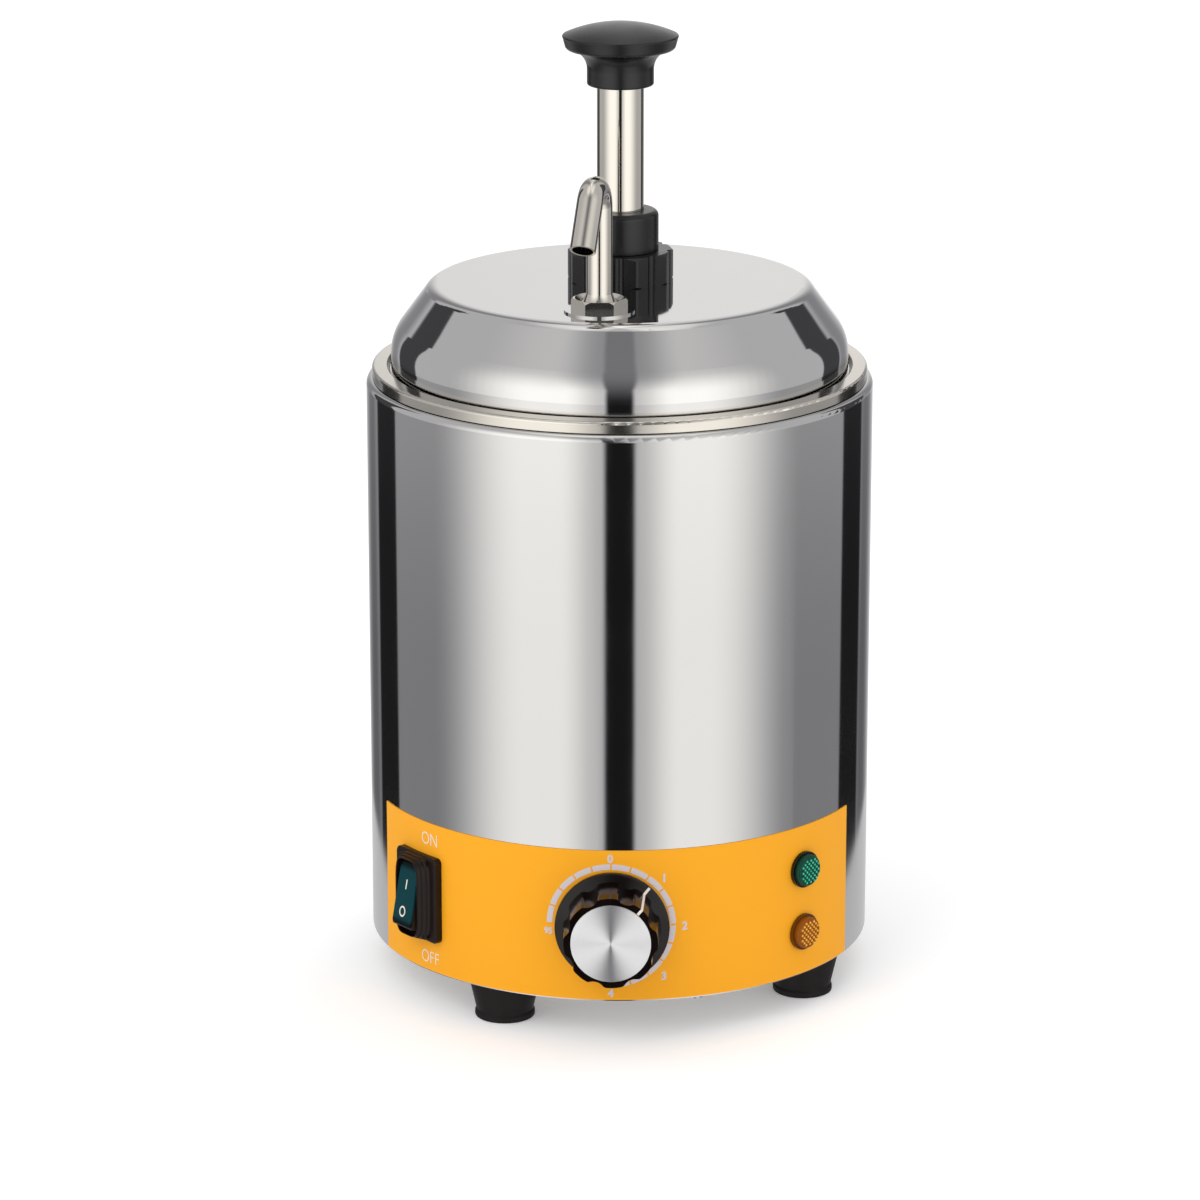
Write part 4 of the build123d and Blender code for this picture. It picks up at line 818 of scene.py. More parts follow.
def cap_tree(made):
    """A disc turned on a lathe, facing -Y: a flat face, an eased edge, a plain side and a
    back. The "lathe" UV map runs outward along U and round the disc along V."""
    tree, given = new_tree(
        "turned_cap", "Radius", "Front", "Back", "Level", "Steps", whole=("Steps",),
    )
    sheet = add(
        tree,
        "GeometryNodeMeshGrid",
        {"Size X": 1.0, "Size Y": 1.0, "Vertices X": given["Steps"], "Vertices Y": 41},
    )
    here = position_parts(tree)
    along = add(tree, "ShaderNodeMath", {0: here["Y"], 1: 0.5}, operation="ADD")
    seam = add(tree, "ShaderNodeMath", {0: here["X"], 1: 0.5}, operation="ADD")
    uv = add(tree, "ShaderNodeCombineXYZ", {0: along, 1: seam})
    mapped = add(
        tree,
        "GeometryNodeStoreNamedAttribute",
        {"Geometry": sheet, "Name": "lathe", "Value": uv},
        data_type="FLOAT2",
        domain="CORNER",
    )
    outward = add(tree, "ShaderNodeMapRange", {"Value": along, "From Min": 0.0, "From Max": 0.4})
    inward = add(tree, "ShaderNodeMapRange", {"Value": along, "From Min": 0.6, "From Max": 1.0})
    share = add(tree, "ShaderNodeMath", {0: outward, 1: inward}, operation="SUBTRACT")
    reach = add(tree, "ShaderNodeMath", {0: share, 1: given["Radius"]}, operation="MULTIPLY")
    depth = add(
        tree,
        "ShaderNodeMapRange",
        {
            "Value": along,
            "From Min": 0.385,
            "From Max": 0.6,
            "To Min": given["Front"],
            "To Max": given["Back"],
        },
    )
    turn = add(tree, "ShaderNodeMath", {0: seam, 1: 2 * pi}, operation="MULTIPLY")
    side = add(
        tree,
        "ShaderNodeMath",
        {0: reach, 1: add(tree, "ShaderNodeMath", {0: turn}, operation="COSINE")},
        operation="MULTIPLY",
    )
    rise = add(
        tree,
        "ShaderNodeMath",
        {0: reach, 1: add(tree, "ShaderNodeMath", {0: turn}, operation="SINE"), 2: given["Level"]},
        operation="MULTIPLY_ADD",
    )
    place = add(tree, "ShaderNodeCombineXYZ", {0: side, 1: depth, 2: rise})
    turned = add(tree, "GeometryNodeSetPosition", {"Geometry": mapped, "Position": place})
    closed = add(tree, "GeometryNodeMergeByDistance", {"Geometry": turned, "Distance": 2e-6})
    return end_tree(tree, closed, made)


def boot_tree(made):
    """A ribbed boot moulded round a rocker, in the XY plane: rounded ribs climb inward from
    a foot on the bezel to a lip beside the rocker, and a plain wall goes back down."""
    tree, given = new_tree(
        "switch_boot", "Half width", "Half height", "Inset", "End inset", "Foot", "Rise", "Rib",
        "Ribs", whole=("Ribs",),
    )
    sheet = add(
        tree,
        "GeometryNodeMeshGrid",
        {"Size X": 1.0, "Size Y": 1.0, "Vertices X": 145, "Vertices Y": 61},
    )
    here = position_parts(tree)
    along = add(tree, "ShaderNodeMath", {0: here["Y"], 1: 0.5}, operation="ADD")
    turn = add(tree, "ShaderNodeMath", {0: here["X"], 1: 2 * pi}, operation="MULTIPLY")
    climb = add(tree, "ShaderNodeMapRange", {"Value": along, "From Min": 0.0, "From Max": 0.84})
    drop = add(tree, "ShaderNodeMapRange", {"Value": along, "From Min": 0.86, "From Max": 0.95})
    home = add(tree, "ShaderNodeMapRange", {"Value": along, "From Min": 0.95, "From Max": 1.0})
    across = add(tree, "ShaderNodeMath", {0: climb, 1: home}, operation="SUBTRACT")
    stand = add(tree, "ShaderNodeMath", {0: climb, 1: drop}, operation="SUBTRACT")
    phase = add(tree, "ShaderNodeMath", {0: climb, 1: given["Ribs"]}, operation="MULTIPLY")
    wave = add(
        tree,
        "ShaderNodeMath",
        {0: add(tree, "ShaderNodeMath", {0: phase, 1: pi}, operation="MULTIPLY")},
        operation="SINE",
    )
    rounds = add(tree, "ShaderNodeMath", {0: wave}, operation="ABSOLUTE")
    rib = add(tree, "ShaderNodeMath", {0: rounds, 1: given["Rib"]}, operation="MULTIPLY")
    foot = add(tree, "ShaderNodeMath", {0: rib, 1: given["Foot"]}, operation="ADD")
    height = add(
        tree, "ShaderNodeMath", {0: stand, 1: given["Rise"], 2: foot}, operation="MULTIPLY_ADD"
    )
    sides = []
    for half, inset, wheel in (
        ("Half width", "Inset", "COSINE"),
        ("Half height", "End inset", "SINE"),
    ):
        swing = add(tree, "ShaderNodeMath", {0: turn}, operation=wheel)
        size = add(tree, "ShaderNodeMath", {0: swing}, operation="ABSOLUTE")
        squared = add(tree, "ShaderNodeMath", {0: size, 1: 0.42}, operation="POWER")
        sign = add(tree, "ShaderNodeMath", {0: swing}, operation="SIGN")
        step = add(tree, "ShaderNodeMath", {0: across, 1: given[inset]}, operation="MULTIPLY")
        reach = add(tree, "ShaderNodeMath", {0: given[half], 1: step}, operation="SUBTRACT")
        edge = add(tree, "ShaderNodeMath", {0: squared, 1: sign}, operation="MULTIPLY")
        sides.append(add(tree, "ShaderNodeMath", {0: edge, 1: reach}, operation="MULTIPLY"))
    place = add(tree, "ShaderNodeCombineXYZ", {0: sides[0], 1: sides[1], 2: height})
    formed = add(tree, "GeometryNodeSetPosition", {"Geometry": sheet, "Position": place})
    closed = add(tree, "GeometryNodeMergeByDistance", {"Geometry": formed, "Distance": 2e-6})
    return end_tree(tree, closed, made)


# ------------------------------------------------------------------ operators
class WARMER_OT_steel(bpy.types.Operator):
    """Polish the shell, lid, pump tube and spout, and brush the rim ring and union nut"""

    bl_idname = "warmer.steel"
    bl_label = "Finish steel"

    def execute(self, context):
        colours = finish()
        dress(
            polished_stainless("stainless_sheet_polished_shell", colours.steel, 0.05, 0.03),
            "outer_shell",
        )
        dress(
            polished_stainless("stainless_sheet_polished_lid", colours.steel, 0.035, 0.012),
            "lid_shell",
            "spout_washer",
            "valve_ball",
        )
        dress(
            polished_stainless("stainless_tube_polished", colours.warm_steel, 0.07, 0.0),
            "plunger_tube",
            "spout",
        )
        dress(
            brushed_stainless(
                "stainless_ring_brushed", colours.warm_steel, (0, 0), 0.12, 0.93, 0.003
            ),
            "rim_ring",
        )
        dress(
            brushed_stainless(
                "stainless_nut_machined",
                scaled(colours.warm_steel, 1.1),
                RISER_AXIS,
                0.12,
                0.94,
                0.003,
            ),
            "union_nut",
        )
        return {"FINISHED"}


class WARMER_OT_inside(bpy.types.Operator):
    """Give the pieces inside the housing and in the pot their real finishes"""

    bl_idname = "warmer.inside"
    bl_label = "Finish inner pieces"

    def execute(self, context):
        colours = finish()
        satin = drawn_stainless(colours.satin)
        dress(
            satin,
            "water_tank",
            "inner_pot",
            "bottom_plate",
            "shell_tabs",
            "heating_element",
            "heater_clamp",
            "bulb_clip",
            "control_bracket",
            "pump_cylinder",
            "foot_valve",
            "discharge_tube",
        )
        dress(
            zinc_plate(colours.zinc),
            "foot_screws",
            "foot_nuts",
            "plate_screws",
            "clamp_nut",
            "thermostat_screws",
            "bushing_nut",
            "thermostat_shaft",
        )
        dress(drawn_copper(), "thermostat_bulb")
        dress(
            moulded_plastic(
                "phenolic_bakelite_moulded", linear("#1E1713"), 0.34, 0.5, 0.02, 1.6, 0.5
            ),
            "thermal_cutout",
            "thermostat_body",
        )
        dress(
            moulded_plastic("nylon_natural_moulded", linear("#D8D3C8"), 0.42, 0.7, 0.02, 1.53, 0.5),
            "terminal_block",
            "piston",
        )

        low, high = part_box("return_spring")
        free_length = high.z - low.z
        mesh = grown(
            "return_spring_wound",
            spring_tree(satin),
            {
                "Coil radius": (high.x - low.x) / 2 - SPRING_WIRE,
                "Wire radius": SPRING_WIRE,
                "Height": free_length - 2 * SPRING_WIRE,
                "Turns": 7.0,
            },
        )
        middle = (low + high) / 2
        mesh.transform(Matrix.Translation((middle.x, middle.y, low.z + SPRING_WIRE)))
        outside_out(mesh)
        spring = piece("return_spring_wound", mesh, None, "lid")
        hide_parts("return_spring")
        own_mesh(spring)
        return {"FINISHED"}


class WARMER_OT_mouldings(bpy.types.Operator):
    """Give the black mouldings, the feet and the seals their plastics and rubber"""

    bl_idname = "warmer.mouldings"
    bl_label = "Finish mouldings"

    def execute(self, context):
        colours = finish()
        dress(
            moulded_plastic(
                "polypropylene_black_moulded", colours.moulded, 0.28, 0.35, 0.012, 1.49, 0.45
            ),
            "pump_knob",
            "pump_collar",
            "pump_lock_nut",
            "cord_gland",
            "gland_nut",
            "lamp_nuts",
        )
        dress(
            moulded_plastic("nylon_black_moulded", colours.switch, 0.34, 0.3, 0.015, 1.53, 0.2),
            "switch_body",
            "rocker",
        )
        dress(
            moulded_plastic(
                "phenolic_black_polished", colours.phenolic, 0.15, 0.9, 0.004, 1.6, 0.22
            ),
            "dial_knob",
        )
        dress(moulded_rubber(colours.rubber), "rubber_feet", "pump_gasket", "piston_seals")
        return {"FINISHED"}


class WARMER_OT_panel(bpy.types.Operator):
    """Print the orange film that wraps the lower front"""

    bl_idname = "warmer.panel"
    bl_label = "Print control panel"

    def execute(self, context):
        dress(printed_film(finish().panel), "control_panel")
        return {"FINISHED"}


class WARMER_OT_scale(bpy.types.Operator):
    """Print the dial's ring of segments and its plain numbers"""

    bl_idname = "warmer.scale"
    bl_label = "Print dial scale"

    def execute(self, context):
        sizes = marks()
        ink = screen_ink("screen_ink_scale_white", finish().scale_ink)
        pitch = radians(18)
        mesh = grown(
            "dial_scale_segments",
            scale_tree(ink),
            {
                "Count": sizes.segment_count,
                "Start": -pi / 2 + pitch / 2,
                "Pitch": pitch,
                "Gap": sizes.segment_gap,
                "Inner": sizes.segment_inner,
                "Outer": sizes.segment_outer,
                "Shift": -0.5 * MM,
                "Cylinder": PANEL_RADIUS,
                "Level": CONTROL_LEVEL,
                "Stand off": 0.02 * MM,
                "Thickness": sizes.film,
            },
        )
        piece("dial_scale_segments", mesh, None, "base")
        shapes = []
        for text, u, v in (
            ("0", -0.9, 30.2),
            ("1", 22.2, 21.2),
            ("2", 31.2, -0.9),
            ("3", 22.2, -23.0),
            ("4", -0.6, -30.3),
            ("95", -27.6, -3.4),
        ):
            height = sizes.number_height * (0.8 if len(text) > 1 else 1.0)
            shape = lettering(text, height, 0.95, 0.045, sizes.film)
            for vertex in shape.verts:
                vertex.co = on_panel(
                    u * MM + vertex.co.x, v * MM + vertex.co.y, 0.02 * MM + vertex.co.z
                )
            shapes.append(shape)
        mesh = from_bmesh("dial_numbers", merged(shapes), smooth=False)
        piece("dial_numbers", mesh, ink, "base")
        return {"FINISHED"}


class WARMER_OT_switch_marks(bpy.types.Operator):
    """Print ON and OFF by the switch, and the bar and ring on its rocker"""

    bl_idname = "warmer.switch_marks"
    bl_label = "Print switch marks"

    def execute(self, context):
        sizes = marks()
        ink = screen_ink("screen_ink_white", finish().ink)
        shapes = []
        for text, azimuth, level in (("ON", -136.3, 77.6), ("OFF", -136.35, 23.5)):
            shape = lettering(text, sizes.word_height, 0.84, -0.012, sizes.film)
            u = (radians(azimuth) - DIAL_AZIMUTH) * PANEL_RADIUS
            for vertex in shape.verts:
                vertex.co = on_panel(
                    u + vertex.co.x,
                    level * MM - CONTROL_LEVEL + vertex.co.y,
                    0.02 * MM + vertex.co.z,
                )
            shapes.append(shape)
        mesh = from_bmesh("switch_words", merged(shapes), smooth=False)
        piece("switch_words", mesh, ink, "base")
        # the bar and the ring lie on the window, seen straight from in front of the switch
        bar = flat_band([(side * 0.34 * MM, 5.9 * MM) for side in (-1, 1)], sizes.sign_height, 12)
        ring = flat_ring(1.45 * MM, 2.05 * MM, (0.0, -5.9 * MM), 1.15, 48)
        signs = merged([bar, ring])
        lay_on(
            signs,
            cad_surface("rocker_lens"),
            radial_frame(SWITCH_AZIMUTH, CONTROL_LEVEL, PANEL_RADIUS),
            sizes.film,
        )
        mesh = from_bmesh("rocker_signs", signs, smooth=False)
        piece("rocker_signs", mesh, ink, "rocker")
        return {"FINISHED"}


def cad_surface(node):
    """A search tree over a CAD node's mesh, for laying marks on it."""
    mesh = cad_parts[node].data
    return BVHTree.FromPolygons(
        [v.co.copy() for v in mesh.vertices], [tuple(p.vertices) for p in mesh.polygons]
    )


def strip(rows, closed=False):
    """Quads between neighbouring rows of points; closed joins each row's end to its start."""
    shape = bmesh.new()
    grid = [[shape.verts.new(point) for point in row] for row in rows]
    count = len(rows[0])
    for low, high in zip(grid, grid[1:]):
        for i in range(count if closed else count - 1):
            j = (i + 1) % count
            shape.faces.new((low[i], low[j], high[j], high[i]))
    return shape


def flat_band(ends, height, cuts):
    """A flat upright bar about a level, cut across so that it can follow a curve."""
    (left, level), (right, _) = ends
    return strip(
        [
            [(x, level + height * (k / cuts - 0.5), 0) for x in (left, 0, right)]
            for k in range(cuts + 1)
        ]
    )


def flat_ring(inner, outer, centre, stretch, steps):
    """A flat ring, a little taller than wide."""
    return strip(
        [
            [
                (
                    centre[0] + radius * cos(2 * pi * i / steps),
                    centre[1] + stretch * radius * sin(2 * pi * i / steps),
                    0,
                )
                for i in range(steps)
            ]
            for radius in (outer, (inner + outer) / 2, inner)
        ],
        closed=True,
    )


def lay_on(shape, surface, placing, thickness, start=40 * MM):
    """Drop a flat bmesh on a surface along the placing's -Z, and give it a thickness."""
    outward = placing.col[2].to_3d()
    for vertex in shape.verts:
        above = placing @ Vector((vertex.co.x, vertex.co.y, start))
        hit, _, _, _ = surface.ray_cast(above, -outward)
        if hit is None:
            raise RuntimeError("a printed mark lies off the surface that carries it")
        vertex.co = hit + outward * 0.015 * MM
    bmesh.ops.recalc_face_normals(shape, faces=shape.faces)
    thicken(shape, outward * thickness)


def thicken(shape, rise):
    """Close a flat sheet into a slab by raising a copy of it."""
    sheet = list(shape.faces)
    copy = bmesh.ops.duplicate(shape, geom=list(shape.verts) + list(shape.edges) + sheet)
    above = copy["vert_map"]
    borders = [
        (loop.vert, loop.link_loop_next.vert)
        for face in sheet
        for loop in face.loops
        if loop.edge.is_boundary
    ]
    for vertex in [v for v in copy["geom"] if isinstance(v, bmesh.types.BMVert)]:
        vertex.co += rise
    for first, second in borders:
        shape.faces.new((first, second, above[second], above[first]))
    bmesh.ops.recalc_face_normals(shape, faces=shape.faces)


class WARMER_OT_dial(bpy.types.Operator):
    """Turn the dial's aluminium cap and lay the white pointer over the knob"""

    bl_idname = "warmer.dial"
    bl_label = "Turn dial cap and pointer"

    def execute(self, context):
        low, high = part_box("dial_cap")
        metal = spun_aluminium(finish().aluminium)
        mesh = grown(
            "dial_cap_turned",
            cap_tree(metal),
            {
                "Radius": (high.x - low.x) / 2,
                "Front": low.y,
                "Back": high.y,
                "Level": CONTROL_LEVEL,
                "Steps": 193,
            },
        )
        outside_out(mesh)
        mesh.set_sharp_from_angle(angle=radians(30))
        cap = piece("dial_cap_turned", mesh, None, "dial")
        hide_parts("dial_cap")

        # the pointer follows the knob: over the skirt, up the lobe and across the front
        surface = cad_surface("dial_knob")
        half = marks().pointer_width / 2
        outward = Vector((sin(POINTER_ANGLE), 0, cos(POINTER_ANGLE)))
        across = Vector((cos(POINTER_ANGLE), 0, -sin(POINTER_ANGLE)))
        reaches = [24.2, 23.4, 22.6, 22.0, 21.5]
        reaches += [21.5 - 0.1 * i for i in range(1, 18)]
        reaches += [19.6, 19.2, 18.6, 18.0, 17.25]
        lifted = 0.09 * MM
        loops = []
        for reach in reaches:
            top, bottom = [], []
            for offset in (-half, -half / 3, half / 3, half):
                start = (
                    outward * (reach * MM)
                    + across * offset
                    + Vector((0, low.y - 0.02, CONTROL_LEVEL))
                )
                hit, normal, _, _ = surface.ray_cast(start, Vector((0, 1, 0)))
                if hit is None:
                    raise RuntimeError("the pointer lies off the knob")
                facing = normal if normal.y < 0.2 else -normal
                top.append(hit + facing * lifted)
                bottom.append(hit - facing * lifted)
            loops.append(top + bottom[::-1])
        shape = strip(loops, closed=True)
        bmesh.ops.holes_fill(shape, edges=[e for e in shape.edges if e.is_boundary])
        bmesh.ops.recalc_face_normals(shape, faces=shape.faces)
        mesh = from_bmesh("dial_pointer", shape, smooth=False)
        ink = screen_ink("enamel_white_pointer", finish().ink)
        piece("dial_pointer", mesh, ink, "dial")
        return {"FINISHED"}


class WARMER_OT_lamps(bpy.types.Operator):
    """Cut the pilot lamps' lenses with their fields of prisms"""

    bl_idname = "warmer.lamps"
    bl_label = "Cut lamp lenses"

    def execute(self, context):
        colours = finish()
        dress(lamp_housing(linear("#07100F"), linear("#5E330B"), CONTROL_LEVEL), "lamp_bodies")
        # the deep colour is each lens's tint where there are no prisms and painted shade between
        # the prisms; the last colour is a painted glint on the prism tips
        for name, side, base, deep, painted_glint in (
            ("green", 1, colours.green, linear("#053F31"), linear("#5BE0B6")),
            ("amber", -1, colours.amber, linear("#8A4B08"), linear("#FFD060")),
        ):
            made = prismatic_polycarbonate(f"polycarbonate_{name}_prismatic", deep, base, painted_glint)
            dress(made, f"{name}_lamp")
            placing = radial_frame(
                LAMP_AZIMUTH, CONTROL_LEVEL + side * LAMP_SPACING / 2, PANEL_RADIUS
            )
            mesh = grown(
                f"{name}_lens_prisms",
                prism_tree(made),
                {"Pitch": 1.7 * MM, "Field": 5.9 * MM, "Height": 0.6 * MM},
            )
            surface = cad_surface(f"{name}_lamp")
            outward = placing.col[2].to_3d()
            for vertex in mesh.vertices:
                foot = placing @ Vector((vertex.co.x, vertex.co.y, 20 * MM))
                hit, _, _, _ = surface.ray_cast(foot, -outward)
                if hit is None:
                    raise RuntimeError("a prism lies off the lens")
                vertex.co = hit + outward * (vertex.co.z - 0.1 * MM)
            for face in mesh.polygons:
                face.use_smooth = False
            piece(f"{name}_lens_prisms", mesh, None, "base")
        return {"FINISHED"}


class WARMER_OT_switch(bpy.types.Operator):
    """Tint the rocker's window and mould the ribbed boot round the rocker"""

    bl_idname = "warmer.switch"
    bl_label = "Finish rocker switch"

    def execute(self, context):
        low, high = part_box("rocker_lens")
        dress(
            tinted_window(
                "polycarbonate_teal_tinted",
                finish().teal,
                linear("#030F12"),
                # a lighter teal, mixed in clouds over the tint as a painted highlight
                linear("#083F45"),
                (low.z + high.z) / 2,
                (high.z - low.z) / 2,
            ),
            "rocker_lens",
        )
        nylon = moulded_plastic(
            "thermoplastic_rubber_black_moulded", finish().switch, 0.3, 0.3, 0.01, 1.5, 0.2
        )
        mesh = grown(
            "switch_boot",
            boot_tree(nylon),
            {
                "Half width": 11.0 * MM,
                "Half height": 18.9 * MM,
                "Inset": 3.7 * MM,
                "End inset": 1.9 * MM,
                "Foot": 2.7 * MM,
                "Rise": 5.0 * MM,
                "Rib": 0.8 * MM,
                "Ribs": 3,
            },
        )
        placing = radial_frame(SWITCH_AZIMUTH, CONTROL_LEVEL, PANEL_RADIUS)
        mesh.transform(placing)
        outside_out(mesh)
        piece("switch_boot", mesh, None, "base")
        return {"FINISHED"}


class WARMER_OT_stage(bpy.types.Operator):
    """Set the camera, the pale floor and the soft studio light"""

    bl_idname = "warmer.stage"
    bl_label = "Set stage"

    def execute(self, context):
        scene = context.scene
        studio = scene.warmer_studio
        scene.view_settings.view_transform = "Standard"

        camera = bpy.data.cameras.new("camera")
        camera.lens = studio.focal
        camera.sensor_width = 36
        camera.clip_end = 50
        viewer = bpy.data.objects.new("camera", camera)
        viewer.location = CAMERA_PLACE
        viewer.rotation_euler = (CAMERA_TILT, 0, CAMERA_PAN)
        scene.collection.objects.link(viewer)
        scene.camera = viewer

        paper, tree = material("studio_floor_paper")
        cloud = add(
            tree, "ShaderNodeTexNoise", {"Vector": measured_from(tree), "Scale": per_mm(400)}
        )
        tone = add(
            tree,
            "ShaderNodeMix",
            {"Factor": cloud, 6: linear("#F5F5F5"), 7: linear("#F8F8F8")},
            data_type="RGBA",
        )
        matt = add(tree, "ShaderNodeBsdfDiffuse", {"Color": tone.outputs[2]})
        seen = add(tree, "ShaderNodeLightPath").outputs["Is Camera Ray"]
        lift = add(tree, "ShaderNodeMath", {0: seen, 1: 0.18}, operation="MULTIPLY")
        glow = add(tree, "ShaderNodeEmission", {"Color": (1, 1, 1, 1), "Strength": lift})
        add(
            tree,
            "ShaderNodeOutputMaterial",
            {"Surface": add(tree, "ShaderNodeAddShader", {0: matt, 1: glow})},
        )
        shape = bmesh.new()
        bmesh.ops.create_grid(shape, x_segments=8, y_segments=8, size=studio.floor / 2)
        floor = bpy.data.objects.new("studio_floor", from_bmesh("studio_floor", shape))
        floor.data.materials.append(paper)
        floor.visible_glossy = False
        scene.collection.objects.link(floor)

        for name, place, size, power in (
            ("key_light", (-1.1, -1.5, 1.9), 1.3, studio.lamp_power),
            ("back_light", (0.9, 1.4, 1.8), 1.2, studio.lamp_power * 0.5),
        ):
            lamp = bpy.data.lights.new(name, "AREA")
            lamp.size = size
            lamp.energy = power
            holder = bpy.data.objects.new(name, lamp)
            holder.location = place
            aim = Vector((0, 0, 0.2)) - Vector(place)
            holder.rotation_euler = aim.to_track_quat("-Z", "Y").to_euler()
            holder.visible_glossy = False
            scene.collection.objects.link(holder)
        studio_world(scene, studio.fill)
        return {"FINISHED"}


def studio_world(scene, fill):
    """The room round the warmer: white behind for the camera, even light on matt surfaces,
    and for polished ones two tall soft boxes with a dark gap between them in front, black
    flags at the rear quarters, grey side walls, and a white sweep behind and below."""
    world = bpy.data.worlds.new("studio")
    scene.world = world
    world.use_nodes = True
    tree = world.node_tree
    tree.nodes.clear()
    look = add(
        tree, "ShaderNodeSeparateXYZ", {0: add(tree, "ShaderNodeTexCoord").outputs["Generated"]}
    )
    front = add(tree, "ShaderNodeMath", {0: look.outputs["Y"], 1: -1.0}, operation="MULTIPLY")
    turn = add(tree, "ShaderNodeMath", {0: look.outputs["X"], 1: front}, operation="ARCTAN2")
    azimuth = add(tree, "ShaderNodeMath", {0: turn}, operation="DEGREES")
    rise = add(tree, "ShaderNodeMath", {0: look.outputs["Z"]}, operation="ARCSINE")
    height = add(tree, "ShaderNodeMath", {0: rise}, operation="DEGREES")
    aside = add(tree, "ShaderNodeMath", {0: azimuth}, operation="ABSOLUTE")

    # the gap between the boxes stands a little to the right and widens towards the ceiling
    widening = add(
        tree,
        "ShaderNodeMapRange",
        {"Value": height, "From Min": 18, "From Max": 58, "To Min": 1.0, "To Max": 1.75},
    )
    off_centre = add(tree, "ShaderNodeMath", {0: azimuth, 1: 1.6}, operation="SUBTRACT")
    off_side = add(tree, "ShaderNodeMath", {0: off_centre}, operation="ABSOLUTE")
    off = add(tree, "ShaderNodeMath", {0: off_side, 1: widening}, operation="DIVIDE")
    # the left flag leans over the warmer above eye level
    left = add(tree, "ShaderNodeMath", {0: azimuth, 1: 0.0}, operation="MINIMUM")
    above = add(
        tree,
        "ShaderNodeMapRange",
        {"Value": height, "From Min": 33, "From Max": 56, "To Min": 0.0, "To Max": 0.11},
    )
    leaning = add(tree, "ShaderNodeMath", {0: left, 1: above, 2: azimuth}, operation="MULTIPLY_ADD")
    flag_side = add(tree, "ShaderNodeMath", {0: leaning, 1: 1.2}, operation="SUBTRACT")
    flag_aside = add(tree, "ShaderNodeMath", {0: flag_side}, operation="ABSOLUTE")
    # both flags taper towards their tops
    taper = add(
        tree,
        "ShaderNodeMapRange",
        {"Value": height, "From Min": 8, "From Max": 38, "To Min": 0.0, "To Max": 15.0},
    )
    flag_outer = add(tree, "ShaderNodeMath", {0: flag_aside, 1: taper}, operation="ADD")
    # the white floor paper reaches higher behind the warmer than beside it
    raised = add(tree, "ShaderNodeMath", {0: height, 1: 3.66}, operation="ADD")
    floor_edge = add(
        tree, "ShaderNodeMath", {0: aside, 1: -0.0286, 2: raised}, operation="MULTIPLY_ADD"
    )

    # each part of the room: what it runs along, where it starts and ends, and its brightness
    parts = {}
    for name, along, start, end, low, high in (
        ("wall", height, -17.5, -9, 0.31, 0.65),
        ("wall_rear", aside, 140, 150, 1.0, 0.50),
        ("sweep", aside, 154, 180, 0.0, 0.66),
        ("box", aside, 93, 42, 0.0, 1.0),
        ("box_power", height, 6, 60, 0.94, 0.12),
        ("dip", off, 28, 7, 0.0, 0.45),
        ("gap", off, 8.2, 5.4, 0.0, 1.0),
        ("gap_tone", height, -16, 56, 0.014, 0.27),
        ("flag_in", flag_aside, 121.6, 123.4, 0.0, 1.0),
        ("flag_out", flag_outer, 145.0, 142.5, 0.0, 1.0),
        ("flag_top", height, 38, 34, 0.0, 1.0),
        ("flag_tone", height, -16, -9, 0.018, 0.075),
        ("floor_rear", aside, 105, 125, 0.0, 1.0),
        ("floor", floor_edge, -19.3, -19.55, 0.0, 1.0),
        ("ceiling", height, 58, 74, 0.0, 0.45),
    ):
        parts[name] = add(
            tree,
            "ShaderNodeMapRange",
            {"Value": along, "From Min": start, "From Max": end, "To Min": low, "To Max": high},
            interpolation_type="SMOOTHSTEP",
        )

    # side walls that darken behind, and the sweep that rises behind the warmer
    wall = add(
        tree, "ShaderNodeMath", {0: parts["wall"], 1: parts["wall_rear"]}, operation="MULTIPLY"
    )
    room = add(tree, "ShaderNodeMath", {0: wall, 1: parts["sweep"]}, operation="ADD")
    # the pair of boxes with the soft fall of light towards the gap between them
    lit = add(
        tree,
        "ShaderNodeMath",
        {0: parts["box"], 1: parts["box_power"], 2: room},
        operation="MULTIPLY_ADD",
    )
    left_over = add(tree, "ShaderNodeMath", {0: 1.0, 1: parts["dip"]}, operation="SUBTRACT")
    dipped = add(tree, "ShaderNodeMath", {0: lit, 1: left_over}, operation="MULTIPLY")
    flag_sides = add(
        tree, "ShaderNodeMath", {0: parts["flag_in"], 1: parts["flag_out"]}, operation="MULTIPLY"
    )
    flag = add(tree, "ShaderNodeMath", {0: flag_sides, 1: parts["flag_top"]}, operation="MULTIPLY")
    floor = add(
        tree, "ShaderNodeMath", {0: parts["floor"], 1: parts["floor_rear"]}, operation="MULTIPLY"
    )
    level = dipped
    for cover, tone in (
        (parts["gap"], parts["gap_tone"]),
        (flag, parts["flag_tone"]),
        (floor, 0.66),
    ):
        level = add(tree, "ShaderNodeMix", {0: cover, 2: level, 3: tone}, data_type="FLOAT")
    level = add(tree, "ShaderNodeMath", {0: level, 1: parts["ceiling"]}, operation="ADD")

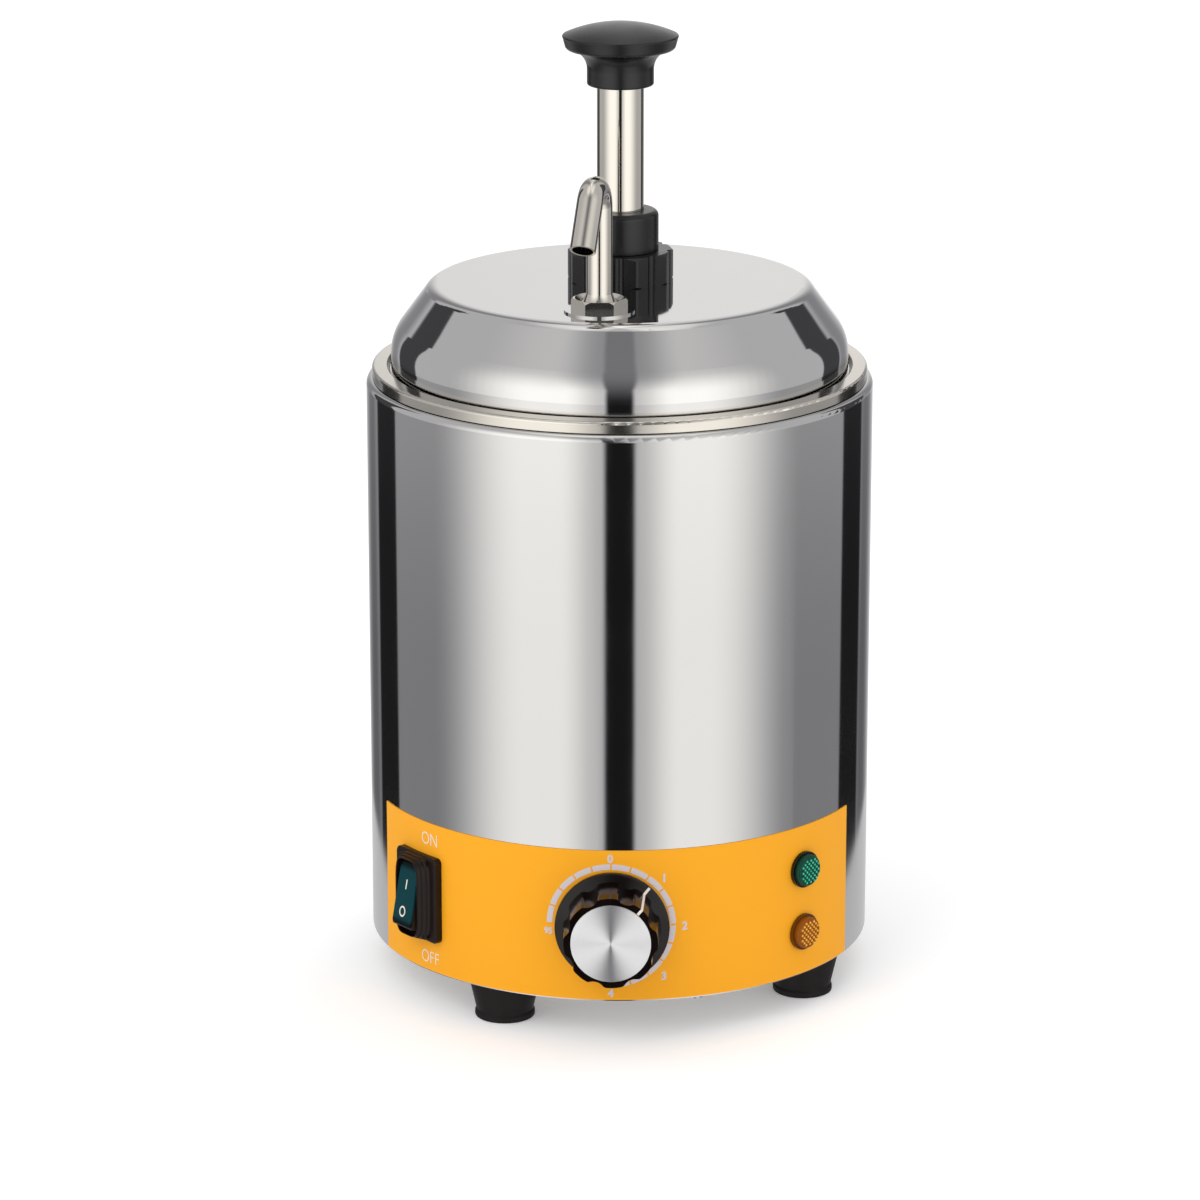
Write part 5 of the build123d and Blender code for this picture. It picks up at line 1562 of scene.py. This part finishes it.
    # dark parts of the room are a little blue, bright parts neutral
    tint = add(
        tree,
        "ShaderNodeMix",
        {0: level, 6: linear("#F3F4FC"), 7: linear("#FFFEFC")},
        data_type="RGBA",
    )
    path = add(tree, "ShaderNodeLightPath").outputs
    clear = add(
        tree,
        "ShaderNodeMath",
        {0: path["Is Camera Ray"], 1: path["Is Transmission Ray"]},
        operation="MAXIMUM",
    )
    even = add(tree, "ShaderNodeBackground", {"Color": (1, 1, 1, 1), "Strength": fill})
    seen = add(tree, "ShaderNodeBackground", {"Color": tint.outputs[2], "Strength": level})
    white = add(tree, "ShaderNodeBackground", {"Color": (1, 1, 1, 1), "Strength": 1.0})
    mirrored = add(tree, "ShaderNodeMixShader", {0: path["Is Glossy Ray"], 1: even, 2: seen})
    add(
        tree,
        "ShaderNodeOutputWorld",
        {"Surface": add(tree, "ShaderNodeMixShader", {0: clear, 1: mirrored, 2: white})},
    )


OPERATORS = (
    WARMER_OT_steel,
    WARMER_OT_inside,
    WARMER_OT_mouldings,
    WARMER_OT_panel,
    WARMER_OT_scale,
    WARMER_OT_switch_marks,
    WARMER_OT_dial,
    WARMER_OT_lamps,
    WARMER_OT_switch,
    WARMER_OT_stage,
)


class WARMER_PT_sidebar(bpy.types.Panel):
    """Lists the warmer's operators"""

    bl_label = "Topping Warmer"
    bl_idname = "WARMER_PT_sidebar"
    bl_space_type = "VIEW_3D"
    bl_region_type = "UI"
    bl_category = "Warmer"

    def draw(self, context):
        for operator in OPERATORS:
            self.layout.operator(operator.bl_idname)


CLASSES = (WarmerFinish, WarmerMarks, WarmerStudio, *OPERATORS, WARMER_PT_sidebar)


def register():
    for cls in CLASSES:
        bpy.utils.register_class(cls)
    bpy.types.Scene.warmer_finish = PointerProperty(type=WarmerFinish)
    bpy.types.Scene.warmer_marks = PointerProperty(type=WarmerMarks)
    bpy.types.Scene.warmer_studio = PointerProperty(type=WarmerStudio)


def unregister():
    del bpy.types.Scene.warmer_studio
    del bpy.types.Scene.warmer_marks
    del bpy.types.Scene.warmer_finish
    for cls in reversed(CLASSES):
        bpy.utils.unregister_class(cls)


def main():
    register()
    for operator in OPERATORS:
        group, name = operator.bl_idname.split(".")
        getattr(getattr(bpy.ops, group), name)()


if __name__ == "__main__":
    main()
